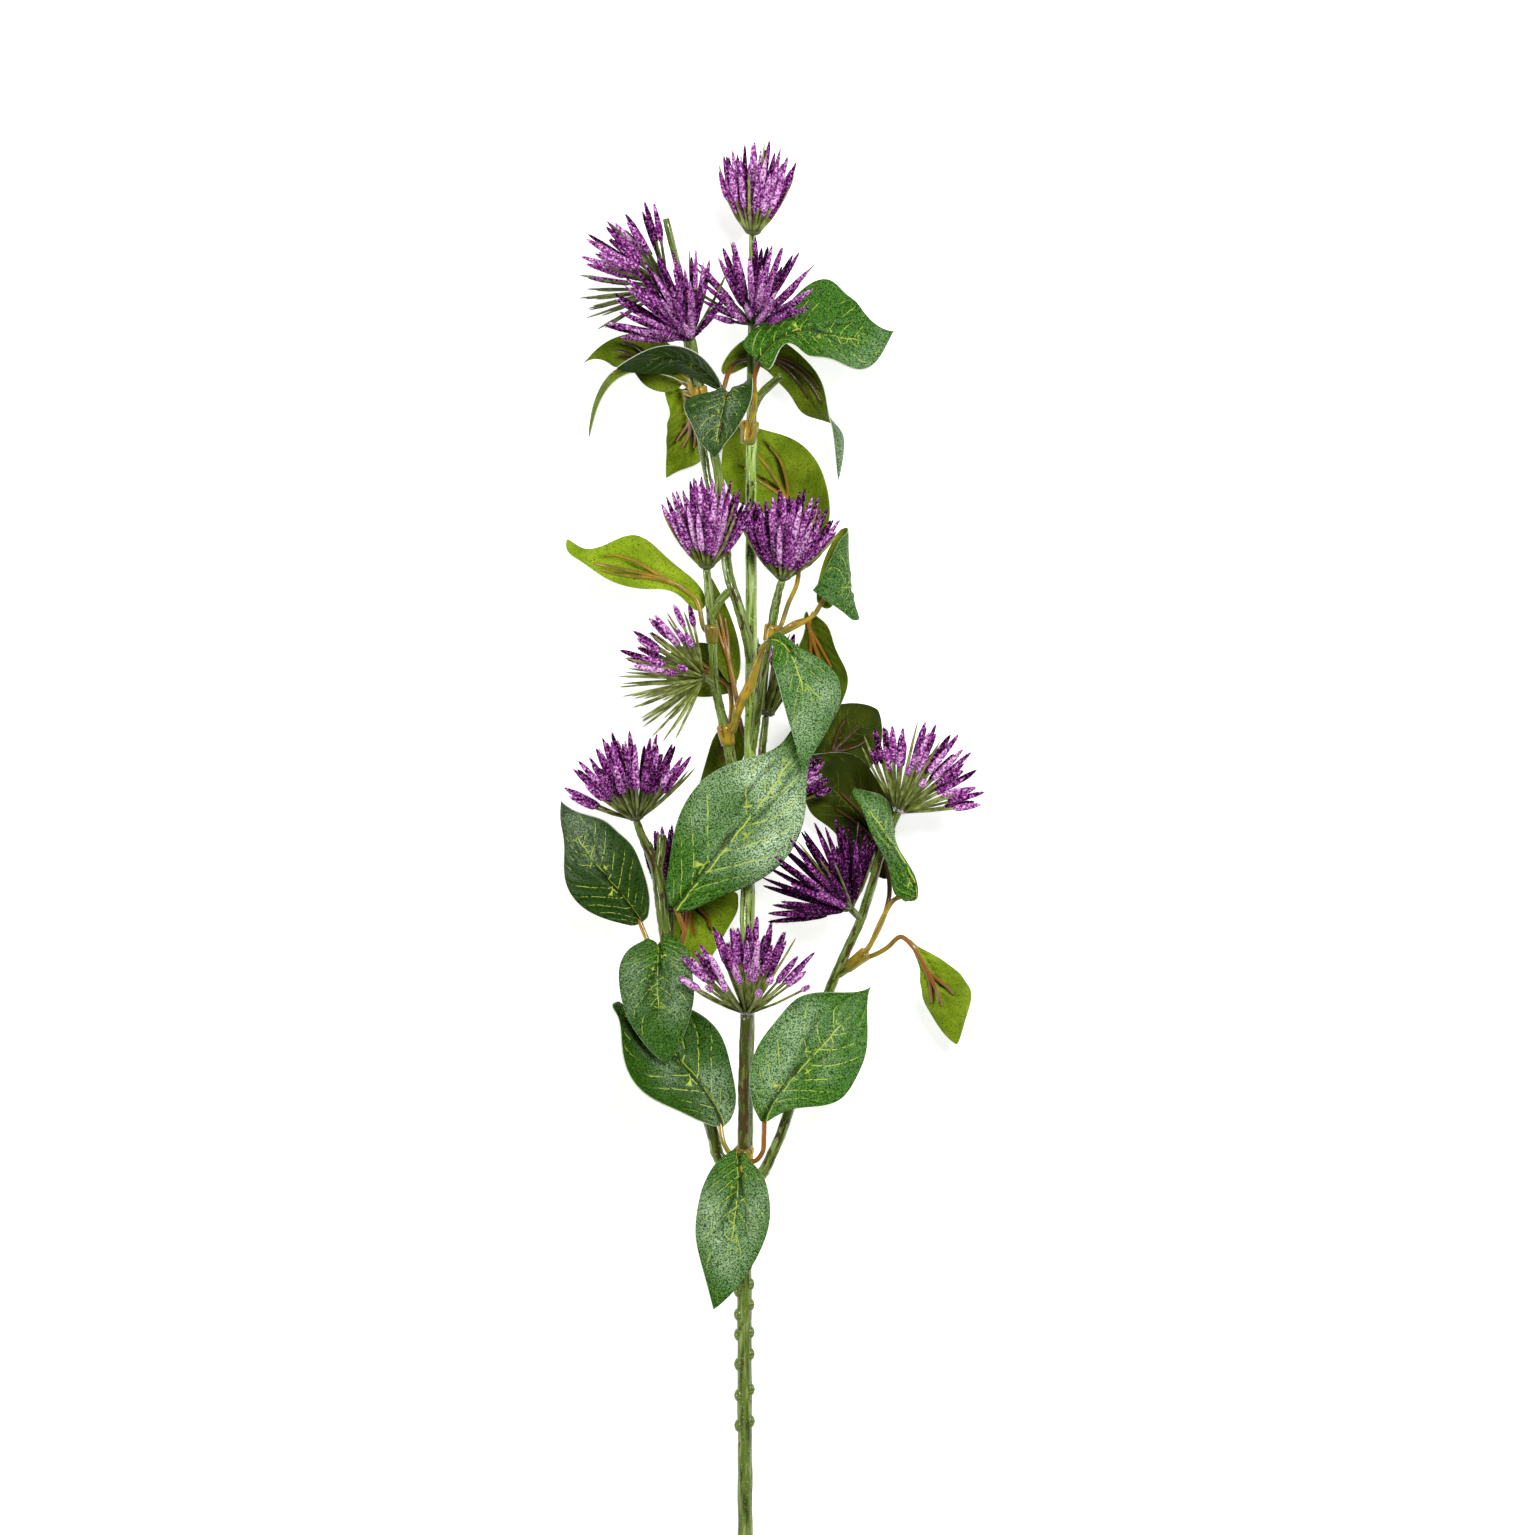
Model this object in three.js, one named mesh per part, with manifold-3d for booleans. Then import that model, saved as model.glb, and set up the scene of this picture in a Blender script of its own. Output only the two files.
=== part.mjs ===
// An artificial centaurea stem, lying down: a moulded green stem that forks into three branches, side sprigs on
// pegs, yellow yokes with fabric leaves, and heads of moulded needles with a purple flocked end.
// Millimetres, +X to the right, +Y along the stem to the top flower, +Z up from the surface that it lies on.
import * as THREE from 'three';
import * as BufferGeometryUtils from 'three/addons/utils/BufferGeometryUtils.js';
import Module from 'manifold-3d';

const wasm = await Module();
wasm.setup();

// Driving dimensions
const BLADE_THICKNESS = 0.7;
const FIT_GAP = 0.3;
const STEM_SIDES = 7;
const PETIOLE_RADIUS = 1.0;
const RIB_TIP_RADIUS = 0.45;
const RIB_SIDES = 4;
const NEEDLES_LAID_OUT = 60;
const NEEDLE_STRIDE = 3;
const STALK_RADIUS = 0.45;
const FLOCK_RADIUS = 1.35;
const WIDEST_AT = 0.74;
const DISC_RADIUS = 3.9;
const DISC_HEIGHT = 2.6;
const GOLDEN_ANGLE = Math.PI * (3 - Math.sqrt(5));

// Stems: each path point is x, y, z, radius. A peg is a short side arm of the same moulding.
const stems = {
  main_stem: {
    path: [
      [-9.9, -339.5, 3.5, 3.5], [-9.9, -290, 7.2, 3.35], [-10.1, -235, 13, 3.3], [-10.3, -180, 19.5, 3.3],
      [-10.4, -150, 24, 3.5], [-10.3, -128, 28, 3.9], [-9.6, -95, 30, 3.2], [-8.9, -40, 32, 3.3],
      [-8.9, 0, 34, 3.3], [-8.4, 40, 35.5, 2.9], [-7.4, 90, 37, 2.6], [-7.2, 150, 38.5, 2.5],
      [-7.1, 200, 40.5, 2.45], [-6.9, 235, 41.5, 2.2], [-6.8, 262, 42, 1.7], [-6.6, 299.6, 43.5, 1.5],
    ],
    arms: [
      [[-6.9, 238, 42, 1.8], [-6.6, 249, 47, 1.8], [-6.1, 259.5, 54.5, 1.9]],
      [[-6.9, 219, 41, 1.7], [-3, 228, 43, 1.75], [6.2, 236.6, 44.5, 1.7]],
    ],
    knobs: [-173.7, -183.6, -194.4, -206, -221, -235],
  },
  branch_front: {
    path: [
      [-10.3, -128, 30, 2.5], [-10.4, -114, 39.5, 2.9], [-10.4, -90, 46, 2.7], [-10.2, -70, 50, 2.5],
      [-9.2, -50.8, 54, 2.9],
    ],
    arms: [],
  },
  branch_left: {
    path: [
      [-10.3, -130, 27.5, 2.5], [-16.5, -121, 26.5, 2.7], [-22, -114, 27.5, 2.7], [-24.5, -104, 29.5, 2.6],
      [-33, -70, 33.5, 2.5], [-42, -35, 38, 2.45], [-46.4, -10, 41, 2.6], [-48, 5, 42, 2.7],
      [-50.6, 18, 43, 2.4], [-55.5, 28, 44, 1.9], [-58.6, 36.3, 45, 1.6],
    ],
    arms: [
      [[-49.5, 13, 42.8, 1.9], [-47.8, 22, 44, 1.9], [-47.3, 30, 45, 1.7]],
      [[-42, -35, 38, 1.6], [-43.5, -18, 33, 1.6], [-43.5, -4.5, 29, 1.6]],
    ],
  },
  branch_right: {
    path: [
      [-10.3, -129, 27.5, 2.5], [-3, -123.5, 25, 2.6], [3.5, -111, 25, 2.4], [8.8, -97, 27, 2.3],
      [19, -65, 32, 2.2], [28, -40, 36, 2.3], [33, -28, 38, 2.2], [37.2, -19, 39.5, 2.1],
      [42, -8, 41, 2.1], [45.6, 3, 42.5, 2.1], [49.2, 15, 44, 1.9], [53.6, 28, 46, 1.8], [58.8, 40.3, 49, 1.7],
    ],
    arms: [
      [[31.2, -33, 37.3, 1.8], [34.5, -31, 38.5, 2], [37.6, -28.8, 39.5, 2]],
      [[42.3, -7.5, 41.1, 1.5], [40, -5.5, 45.5, 1.5], [38.2, -3.6, 49.5, 1.6]],
    ],
  },
  sprig_top_left: {
    path: [
      [-7.4, 108, 38, 2.2], [-9.6, 121, 42.5, 2.3], [-13, 133, 44, 2.3], [-16.2, 143, 44.5, 2.3],
      [-18.4, 153, 44.5, 2.3], [-19.2, 170, 44.5, 2.2], [-22.3, 194, 46.5, 2.1], [-26.3, 212, 49.5, 2],
      [-29.4, 228, 52.3, 1.9], [-31.4, 240, 54, 1.9], [-33.8, 252.6, 56, 1.8],
    ],
    arms: [
      [
        [-19.6, 172, 44.6, 1.7], [-25.5, 186, 42.5, 1.8], [-28.2, 200, 41.5, 1.8], [-31, 216, 41, 1.8],
        [-34, 235, 40, 1.8], [-36.4, 256, 40, 1.7], [-39, 280, 41, 1.6], [-45.4, 307, 42, 1.5],
      ],
      [[-38.4, 274, 40.7, 1.4], [-41, 275.6, 40.5, 1.5], [-44.5, 276.4, 40, 1.6]],
    ],
  },
  sprig_mid_left: {
    path: [
      [-8.7, 30, 35, 2.3], [-12, 46, 40, 2.4], [-16, 63, 43.5, 2.4], [-18.4, 76, 45.5, 2.4],
      [-21, 86, 47, 2.1], [-23.2, 97, 48.3, 1.9], [-24.2, 110, 51, 1.9], [-25.4, 128, 53.5, 1.9],
      [-26.4, 141, 55.2, 1.8], [-27.2, 149.4, 56.4, 1.7],
    ],
    arms: [
      [[-25.2, 128, 53.5, 1.6], [-22, 133.8, 54, 1.7], [-17.3, 139.6, 54.8, 1.8]],
      [[-22.9, 96, 48.1, 1.3], [-25, 99, 50, 1.4], [-27.4, 100.6, 52.5, 1.5]],
    ],
  },
  sprig_mid_right: {
    path: [
      [-7.4, 66, 36.5, 1.8], [-5.4, 77, 40, 1.8], [-4, 89, 42.6, 1.8], [-2.4, 101, 44.5, 1.8],
      [-0.5, 112, 46, 1.85], [1.9, 122, 47.3, 1.9], [3.6, 132, 49.6, 1.9], [5.4, 140, 51.4, 1.7],
      [6.8, 144.4, 52.4, 1.6],
    ],
    arms: [],
  },
  sprig_back: {
    path: [
      [-8.6, 22, 34.5, 1.8], [-5.2, 36, 27.5, 1.8], [-3, 55, 24.5, 1.8], [-2, 70, 25, 1.7],
      [-0.6, 83.2, 26.2, 1.5],
    ],
    arms: [[[-5.4, 35, 27.8, 1.5], [-2.4, 39, 30, 1.5], [1.9, 42.7, 32.6, 1.5]]],
  },
};

// Heads: the stem, and its arm if any, whose end carries the disc, the way that the head faces, the half angle
// of its needles across the picture and in depth, their length and how far they bend upright, how far the whole
// head is turned, and the needles left out where a neighbour passes. Small hidden heads have fewer.
const heads = {
  head_01: { on: ['main_stem'], axis: [0.09, 1, 0.15], across: 33, deep: 33, reach: 41, upright: 0.9 },
  head_02: { on: ['sprig_top_left', 1], axis: [-0.9, 0.44, 0.05], across: 62, deep: 34, reach: 41, upright: 0.1 },
  head_03: {
    on: ['sprig_top_left'], axis: [-0.4, 0.7, 0.62], across: 56, deep: 46, reach: 43, upright: 0.2,
    turned: 4.68, out: [32, 40, 45, 47, 52],
  },
  head_04: {
    on: ['main_stem', 0], axis: [-0.02, 0.72, 0.66], across: 64, deep: 42, reach: 41, upright: 0.15,
    turned: 4.29, out: [48, 52, 57],
  },
  head_05: { on: ['sprig_mid_left'], axis: [0.02, 1, 0.3], across: 38, deep: 34, reach: 41, upright: 0.6 },
  head_06: { on: ['sprig_mid_right'], axis: [0.14, 1, 0.3], across: 44, deep: 36, reach: 41, upright: 0.6 },
  head_07: { on: ['sprig_mid_left', 1], axis: [-1, 0.15, 0.35], across: 72, deep: 50, reach: 38, upright: 0.1 },
  head_08: { on: ['branch_left'], axis: [-0.16, 1, 0.2], across: 62, deep: 48, reach: 40, upright: 0.25 },
  head_09: {
    on: ['branch_left', 1], axis: [-0.02, 1, -0.05], across: 20, deep: 20, reach: 38, upright: 0.3, needles: 36,
  },
  head_10: {
    on: ['branch_front'], axis: [0.04, 0.92, 0.42], across: 62, deep: 52, reach: 43, upright: 0.2, turned: 0.39,
  },
  head_11: { on: ['branch_right'], axis: [0.5, 0.88, 0.25], across: 58, deep: 46, reach: 42, upright: 0.15 },
  head_12: {
    on: ['branch_right', 1], axis: [-0.62, 0.78, 0.4], across: 60, deep: 44, reach: 43, upright: 0.2, turned: 2.34,
  },
  head_13: {
    on: ['sprig_back'], axis: [0.2, 1, -0.05], across: 20, deep: 22, reach: 38, upright: 0.4, needles: 36,
  },
  head_14: {
    on: ['sprig_back', 0], axis: [0.62, 0.78, 0.1], across: 32, deep: 24, reach: 30, upright: 0.3, needles: 36,
  },
};

// Leaves: the midrib's four Bezier points from base to tip, the half width, how round the base and how drawn
// out the tip is, the ways that the blade's right edge points from base to tip, the curl of its left and right
// halves, the edge wave's height, count and phase, the base lobes, and how much fuller the left and right halves
// are at three places. Those seen from below show three ribs.
const leaves = {
  leaf_01: {
    rib: [[-4.5, 243.5, 61.5], [15, 272, 68], [35.5, 244, 66], [57, 256.5, 57]], half: 18.5,
    shape: [0.35, 1.05], side: [[0.8, -0.6, 0.35], [0.1, -1, 0.4]], curl: [0.1, 0.35],
    wave: [1.2, 1.7, 0.2], lobe: 4, full: [[-0.5, 0.65, 1.15], [-0.75, 0, 1.2]],
  },
  leaf_02: {
    rib: [[-20, 237, 46], [-1.5, 258, 17], [34.5, 236.5, 32], [32, 190, 34]], half: 9, shape: [0.65, 0.9],
    ribs: 3, side: [[-0.8, 0.5, 0.1], [0.5, 0.8, 0.1], [-1.2, -1.3, 1]], curl: [-0.3, -0.3],
    wave: [1, 1, 0.5], lobe: 0, full: [[-0.55, 0.1, 1.2], [0.35, -0.25, -0.75]],
  },
  leaf_03: {
    rib: [[-21, 230.5, 58], [-36.5, 249.5, 67], [-43.5, 244.5, 68], [-67.5, 239.5, 58]], half: 9.5,
    shape: [0.6, 0.75], side: [[0.3, 0.3, 0.6], [0.2, 0.7, 0.65]], curl: [0.2, 0.2], wave: [0.8, 1.2, 0],
    lobe: 0,
  },
  leaf_04: {
    rib: [[-37, 235, 46], [-53, 237.5, 40], [-65, 258.5, 38], [-83, 242, 34]], half: 11.5,
    shape: [0.7, 1.55], ribs: 3, side: [[-0.6, -0.75, -0.2], [-0.5, -0.85, -0.1]], curl: [0.2, 0.2],
    wave: [0.8, 1, 0.3], lobe: 0, full: [[0.05, 0.15, 0], [-0.1, -0.4, 0.65]],
  },
  leaf_05: {
    rib: [[-36.5, 232.5, 54], [-36, 237, 52.5], [-76.5, 259, 50.5], [-80, 209, 43]], half: 9,
    shape: [1.15, 0.7], ribs: 3, side: [[0.05, -0.3, 0.95], [0.2, -0.15, 0.97]], curl: [0.25, 0.25],
    wave: [0.5, 1, 0], lobe: 0,
  },
  leaf_06: {
    rib: [[-37.5, 231, 34], [-30.5, 208.5, 23], [-36, 213, 4], [-45.5, 191, 0.5]], half: 14.5,
    shape: [0.4, 0.95], ribs: 3, side: [[1, -0.1, 0], [1, -0.35, 0]], curl: [-0.35, -0.35],
    wave: [0.8, 1.5, 0.4], lobe: 13, full: [[-0.35, -0.2, -0.15], [-0.55, -0.2, 0.35]],
  },
  leaf_07: {
    rib: [[-17, 229, 64], [-17, 235.5, 73], [-23, 203, 78], [-23.5, 200, 74]], half: 14.5,
    shape: [0.35, 1.15], side: [[-0.97, -0.3, 0], [-1, -0.1, 0]], curl: [0.4, 0.4], wave: [0.6, 1, 0],
    lobe: 6, full: [[-0.15, -0.15, -0.35], [-0.75, 0.55, 0.55]],
  },
  leaf_08: {
    rib: [[14, 160, 33], [11.5, 186.5, 19], [-4.5, 204.5, 12], [-19, 214, 6]], half: 21,
    shape: [0.35, 0.75], ribs: 3, side: [[-0.9, -0.4, 0], [-0.7, -0.7, 0]], curl: [-0.35, -0.35],
    wave: [1.2, 1.3, 0.1], lobe: 2, full: [[-0.05, 0, -0.25], [-0.5, 0.1, 0.3]],
  },
  leaf_09: {
    rib: [[-29.5, 131.5, 46.5], [-41, 155.5, 51], [-87, 143.5, 46], [-90, 163, 30]], half: 8,
    shape: [0.4, 0.65], ribs: 3, side: [[-0.6, -0.8, 0], [-0.15, -1, 0.3]], curl: [0.3, 0.3],
    wave: [3, 1.4, 0.6], lobe: 0, full: [[-0.1, 1.2, 0], [-0.5, -0.15, -0.75]],
  },
  leaf_10: {
    rib: [[22.5, 135, 51], [43.5, 142, 45], [43.5, 141, 62], [20.5, 140, 60]], half: 21, shape: [0.7, 1],
    side: [[-0.15, 0.99, 0], [-0.15, 0.99, 0]], curl: [0.1, 0.1], wave: [0, 1, 0], lobe: 0,
    full: [[-0.95, -0.25, -0.2], [0.1, 0.35, 0.6]],
  },
  leaf_11: {
    rib: [[18.5, 128, 48], [17, 124, 47], [27, 105, 37], [29, 82, 30]], half: 9.5, shape: [0.95, 0.85],
    ribs: 3, side: [[0.95, 0.3, 0], [0.98, 0.15, 0]], curl: [-0.3, -0.3], wave: [1, 1.4, 0.2], lobe: 5,
    full: [[-0.75, 0, 0], [0.2, -0.1, 0.4]],
  },
  leaf_12: {
    rib: [[-4, 110, 54], [-2, 130, 72], [26, 118.5, 84], [15.5, 59, 66]], half: 10, shape: [1.5, 0.9],
    side: [[-1, -0.1, 0], [-0.5, -0.86, 0.1], [-0.95, 0.3, 0.1]], curl: [-0.5, 0.2], wave: [1, 1.3, 0.4],
    lobe: 0, full: [[-0.75, -0.75, 1.2], [-0.75, 0.1, 0.3]],
  },
  leaf_13: {
    rib: [[22.5, 62, 12], [31, 68, 7], [40, 78, -3], [50, 86.5, -3]], half: 17, shape: [0.5, 0.7], ribs: 3,
    pressed: true, side: [[-0.7, 0.72, 0], [-0.7, 0.72, 0]], curl: [-0.15, -0.15], wave: [0, 1, 0], lobe: 0,
  },
  leaf_14: {
    rib: [[55, 10.5, 32], [53, 31, 26], [38, 48, 21], [14, 64, 20]], half: 14.5, shape: [0.5, 0.65],
    ribs: 3, side: [[-0.95, -0.3, 0.05], [-0.6, -0.8, 0.05]], curl: [-0.15, -0.15], wave: [0.8, 1.4, 0.1],
    lobe: 0, full: [[-0.5, 0, 0.6], [0, 0, 0.45]],
  },
  leaf_15: {
    rib: [[62.5, 1, 54], [79.5, -3, 60], [40, 45, 62], [39, 51.5, 60]], half: 11, shape: [1.5, 1.3],
    side: [[1, 0.1, -0.1], [0.72, 0.68, -0.1]], curl: [-0.2, -1.5], wave: [0.6, 1, 0.5], lobe: 5,
    full: [[0.45, -0.5, -0.75], [-0.7, -0.75, 1.2]],
  },
  leaf_16: {
    rib: [[64, -17, 46], [78, -40, 47], [74.5, -36.5, 36], [85.5, -64, 22]], half: 11, shape: [1.05, 0.75],
    ribs: 3, side: [[0.9, 0.42, 0.1], [0.9, 0.3, -0.1]], curl: [1.1, 0.5], wave: [0.6, 1.2, 0.3], lobe: 0,
    full: [[-0.45, -0.3, -0.2], [0.2, 0.2, 0.55]],
  },
  leaf_17: {
    rib: [[-42, -2.5, 50], [-39.5, 1, 54], [19, 71, 67], [16, 80, 54]], half: 28.5, shape: [1.2, 1.2],
    side: [[0.85, -0.5, 0.05], [0.84, -0.52, -0.1]], curl: [0.15, -0.25], wave: [1.4, 1.4, 0.3], lobe: 1,
    full: [[-0.25, -0.05, -0.65], [-0.35, -0.05, -0.45]],
  },
  leaf_18: {
    rib: [[-57, -9.5, 38], [-68, 9.5, 46], [-86, 19, 46], [-92.5, 45.5, 38]], half: 17, shape: [0.8, 1.1],
    side: [[0.84, 0.5, 0.2], [0.8, 0.5, 0.35]], curl: [0.2, 0.3], wave: [1.2, 1.2, 0.2], lobe: 2,
    full: [[0, 0, -0.45], [0, 0.2, 0.6]],
  },
  leaf_19: {
    rib: [[-48.5, -18.5, 53], [-46.5, -22, 56], [-51, -32.5, 62], [-45, -71.5, 54]], half: 17.5,
    shape: [0.7, 0.65], side: [[-1, 0, 0], [-1, -0.05, 0]], curl: [0.2, 0.2], wave: [0.8, 1.2, 0], lobe: 6,
    full: [[-0.1, -0.15, 0], [0, 0.05, 0.1]],
  },
  leaf_20: {
    rib: [[-20.5, -101.5, 43], [-23.5, -79, 50], [-72.5, -44, 48], [-68, -45.5, 40]], half: 28,
    shape: [1.1, 1.6], side: [[0.8, 0.6, 0], [0.76, 0.65, 0]], curl: [1.2, 0.2], wave: [1.2, 1.3, 0.4],
    lobe: 1, full: [[-0.2, 0, -0.6], [-0.3, -0.15, -0.75]],
  },
  leaf_21: {
    rib: [[-2, -99.5, 46], [1, -84.5, 54], [29, -59.5, 58], [47, -37.5, 48]], half: 21, shape: [1.45, 1.6],
    side: [[0.9, -0.5, 0], [0.78, -0.62, 0]], curl: [0.2, 0.3], wave: [1.4, 1.5, 0.7], lobe: 1,
    full: [[0, 0, 0.6], [-0.35, 0.15, 0.4]],
  },
  leaf_22: {
    rib: [[-12.5, -114, 49], [-13.5, -112.5, 52], [-6.5, -135.5, 57], [-24, -183, 48]], half: 16.5,
    shape: [1.5, 0.95], side: [[-1, 0.05, 0], [-0.97, 0.2, 0]], curl: [0.2, 0.2], wave: [0.8, 1.4, 0.2],
    lobe: 7, full: [[-0.4, -0.15, -0.1], [0.35, 0.1, 0.2]],
  },
  leaf_23: {
    rib: [[-12, 84, 24], [-19, 71.5, 22], [-12, 74, 14], [-31, 44, 9]], half: 8, shape: [0.75, 0.6],
    side: [[0.85, -0.5, 0], [0.85, -0.5, 0]], curl: [-0.3, -0.3], wave: [0.6, 1.2, 0], lobe: 0,
  },
  leaf_24: {
    rib: [[-36.5, 7, 20], [-36, 1.5, 18], [-33.5, -11.5, 16], [-29.5, -31.5, 14]], half: 19,
    shape: [0.7, 0.95], ribs: 3, side: [[1, 0, 0], [1, 0.05, 0]], curl: [-0.3, -0.3], wave: [0.6, 1.2, 0.5],
    lobe: 0, full: [[-0.5, -0.4, -0.35], [0.35, 0.15, 0]],
  },
  leaf_25: {
    rib: [[-15.5, 95, 32], [-25, 106, 29], [-38, 108, 25], [-51, 103, 19]], half: 12.5, shape: [0.66, 1],
    side: [[-0.7, -0.7, 0], [-0.2, -1, 0]], curl: [-0.3, -0.3], wave: [0.6, 1.2, 0.2], lobe: 0,
  },
  leaf_26: {
    rib: [[-15, 98, 40], [-18, 112, 40], [-21, 128, 40], [-25, 146, 41]], half: 6, shape: [0.66, 1],
    side: [[-1, -0.2, 0], [-0.9, -0.4, 0]], curl: [-0.3, -0.3], wave: [0.4, 1.2, 0.2], lobe: 0,
  },
};

// Yokes: a collar on its stem and a petiole to each leaf, which runs on under the blade as three ribs. A petiole
// point may carry its own radius.
const yokes = {
  yoke_01: {
    stem: 'main_stem', collar: [[-8.6, 206.5, 41], [-7.6, 215.5, 41.8]], radius: 4.2,
    petioles: {
      leaf_01: [[-7.4, 213.5, 45.6], [-5.4, 226, 51], [-5.6, 236, 54]],
      leaf_07: [[-11.5, 214, 46], [-16, 221, 56]],
    },
  },
  yoke_02: {
    stem: 'sprig_top_left', collar: [[-25.2, 207, 48.7], [-27, 214.5, 49.9]], radius: 3.4,
    petioles: {
      leaf_02: [[-23, 214, 48.5], [-20.5, 226, 48]],
      leaf_03: [[-24.5, 213, 53.2], [-20, 224.5, 54]],
    },
  },
  yoke_03: {
    stem: 'sprig_top_left', collar: [[-28.8, 224, 51.8], [-30.2, 231, 52.8]], radius: 3.3,
    petioles: {
      leaf_04: [[-33, 229.5, 49.5]],
      leaf_05: [[-33.6, 229, 53.5]],
      leaf_06: [[-34.4, 228, 49], [-37, 229, 42]],
    },
  },
  yoke_04: {
    stem: 'sprig_mid_right', collar: [[0.9, 117.5, 46.8], [2.2, 124, 47.6]], radius: 3.3,
    petioles: {
      leaf_08: [[5.8, 123.5, 45.4], [9.5, 134, 42.5], [14, 146, 38.5]],
      leaf_10: [[5.8, 120.5, 49], [14, 124.5, 50.3], [21, 129, 50.6]],
      leaf_11: [[5.8, 121.5, 46.4], [12.5, 125.5, 45]],
    },
  },
  yoke_05: {
    stem: 'sprig_mid_left', collar: [[-17.4, 71, 44.9], [-19, 79, 46.4]], radius: 3.8,
    petioles: {
      leaf_12: [[-15.2, 79, 49, 1.5], [-12.5, 88, 52.5, 2.1], [-7.5, 98, 53.5, 2.1]],
      leaf_25: [[-16.8, 79.5, 41.4], [-16, 89, 34.5]],
      leaf_26: [[-14.4, 78, 44.5], [-13.4, 88, 42]],
    },
  },
  yoke_06: {
    stem: 'sprig_mid_left', collar: [[-24.6, 117, 52], [-25.2, 124, 53]], radius: 3.2,
    petioles: { leaf_09: [[-28.6, 123.5, 50.5]] },
  },
  yoke_07: {
    stem: 'branch_right', collar: [[36, -29.6, 38.9], [44.5, -23, 41.5]], radius: 3.1,
    petioles: {
      leaf_14: [[46.5, -19, 38], [52, -8, 35], [55, 3, 33]],
      leaf_15: [[46, -20, 43], [51, -9, 47], [57, 1, 49]],
      leaf_16: [[48, -23.8, 42], [54, -20.5, 44], [60, -15.6, 46]],
    },
  },
  yoke_08: {
    stem: 'branch_front', collar: [[-10.35, -118.5, 37.1], [-10.4, -111, 40.8]], radius: 4.4,
    petioles: {
      leaf_20: [[-15.5, -114, 42.5], [-19.6, -108, 43]],
      leaf_21: [[-5.6, -116.5, 42], [-1.9, -112, 43], [-1.4, -105, 44]],
      leaf_22: [[-11, -114.5, 45.5]],
    },
  },
  yoke_09: {
    stem: 'branch_left', collar: [[-43.6, -27, 39], [-45, -19, 40]], radius: 3.9,
    petioles: {
      leaf_17: [[-39.5, -20, 42.5], [-37, -14, 45], [-39, -8, 47]],
      leaf_18: [[-51, -22, 39], [-54.3, -16, 38]],
      leaf_19: [[-46, -22, 45.5], [-47.3, -18.5, 49]],
      leaf_24: [[-39, -19, 34], [-35.5, -6, 26]],
    },
  },
  yoke_10: {
    stem: 'sprig_back', collar: [[-3.2, 52, 24.6], [-2.5, 60, 24.6]], radius: 3,
    petioles: {
      leaf_13: [[2, 56, 20], [9, 55, 15]],
      leaf_23: [[-6.4, 60, 24.5], [-9, 72, 25]],
    },
  },
};

// A closed solid from its vertices and triangles, with equal corners merged.
function solidFrom(positions, triangles) {
  const geometry = new THREE.BufferGeometry();
  const corners = positions.flatMap((p) => p.toArray());
  geometry.setAttribute('position', new THREE.Float32BufferAttribute(corners, 3));
  geometry.setIndex(triangles.flat());
  const merged = BufferGeometryUtils.mergeVertices(geometry, 1e-4);
  const mesh = new wasm.Mesh({
    numProp: 3,
    vertProperties: new Float32Array(merged.attributes.position.array),
    triVerts: new Uint32Array(merged.index.array),
  });
  return new wasm.Manifold(mesh);
}

// A loft through rings of equal corner count, closed by a fan at each end.
function loft(rings) {
  const count = rings[0].length;
  const triangles = [];
  for (let i = 0; i + 1 < rings.length; i += 1) {
    for (let j = 0; j < count; j += 1) {
      const a = i * count + j;
      const b = i * count + ((j + 1) % count);
      triangles.push([a, b, b + count], [a, b + count, a + count]);
    }
  }
  const last = (rings.length - 1) * count;
  for (let j = 1; j + 1 < count; j += 1) {
    triangles.push([0, j + 1, j], [last, last + j, last + j + 1]);
  }
  return solidFrom(rings.flat(), triangles);
}

// Points and radii along a smooth curve through the given x, y, z, radius points.
function spineOf(path, stepsPerSpan) {
  const points = path.map(([x, y, z]) => new THREE.Vector3(x, y, z));
  const curve = new THREE.CatmullRomCurve3(points, false, 'catmullrom');
  const steps = (path.length - 1) * stepsPerSpan;
  return Array.from({ length: steps + 1 }, (_, i) => {
    const place = (i / steps) * (path.length - 1);
    const span = Math.min(Math.floor(place), path.length - 2);
    const radius = THREE.MathUtils.lerp(path[span][3], path[span + 1][3], place - span);
    return { point: curve.getPoint(i / steps), radius };
  });
}

// A tube with flat ends around a spine, its section carried along without twist.
function tube(spine, sides, grow = 0) {
  const tangents = spine.map((_, i) => {
    const before = spine[Math.max(i - 1, 0)].point;
    const after = spine[Math.min(i + 1, spine.length - 1)].point;
    return after.clone().sub(before).normalize();
  });
  let across = new THREE.Vector3(0, 0, -1);
  const rings = spine.map(({ point, radius }, i) => {
    across = across.clone().addScaledVector(tangents[i], -across.dot(tangents[i])).normalize();
    const up = tangents[i].clone().cross(across);
    return Array.from({ length: sides }, (_, j) => {
      const angle = (2 * Math.PI * j) / sides;
      return point.clone()
        .addScaledVector(across, Math.cos(angle) * (radius + grow))
        .addScaledVector(up, Math.sin(angle) * (radius + grow));
    });
  });
  return loft(rings);
}

// A stem's moulding: its tube, its side arms and the small knobs on both sides of the handle.
function stemSolid(stem, grow = 0) {
  let solid = tube(spineOf(stem.path, 1), STEM_SIDES, grow);
  for (const arm of stem.arms) {
    solid = solid.add(tube(spineOf(arm, 1), STEM_SIDES - 1, grow));
  }
  for (const y of stem.knobs ?? []) {
    solid = solid.add(knobPair(stem, y, grow));
  }
  return solid;
}

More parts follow.
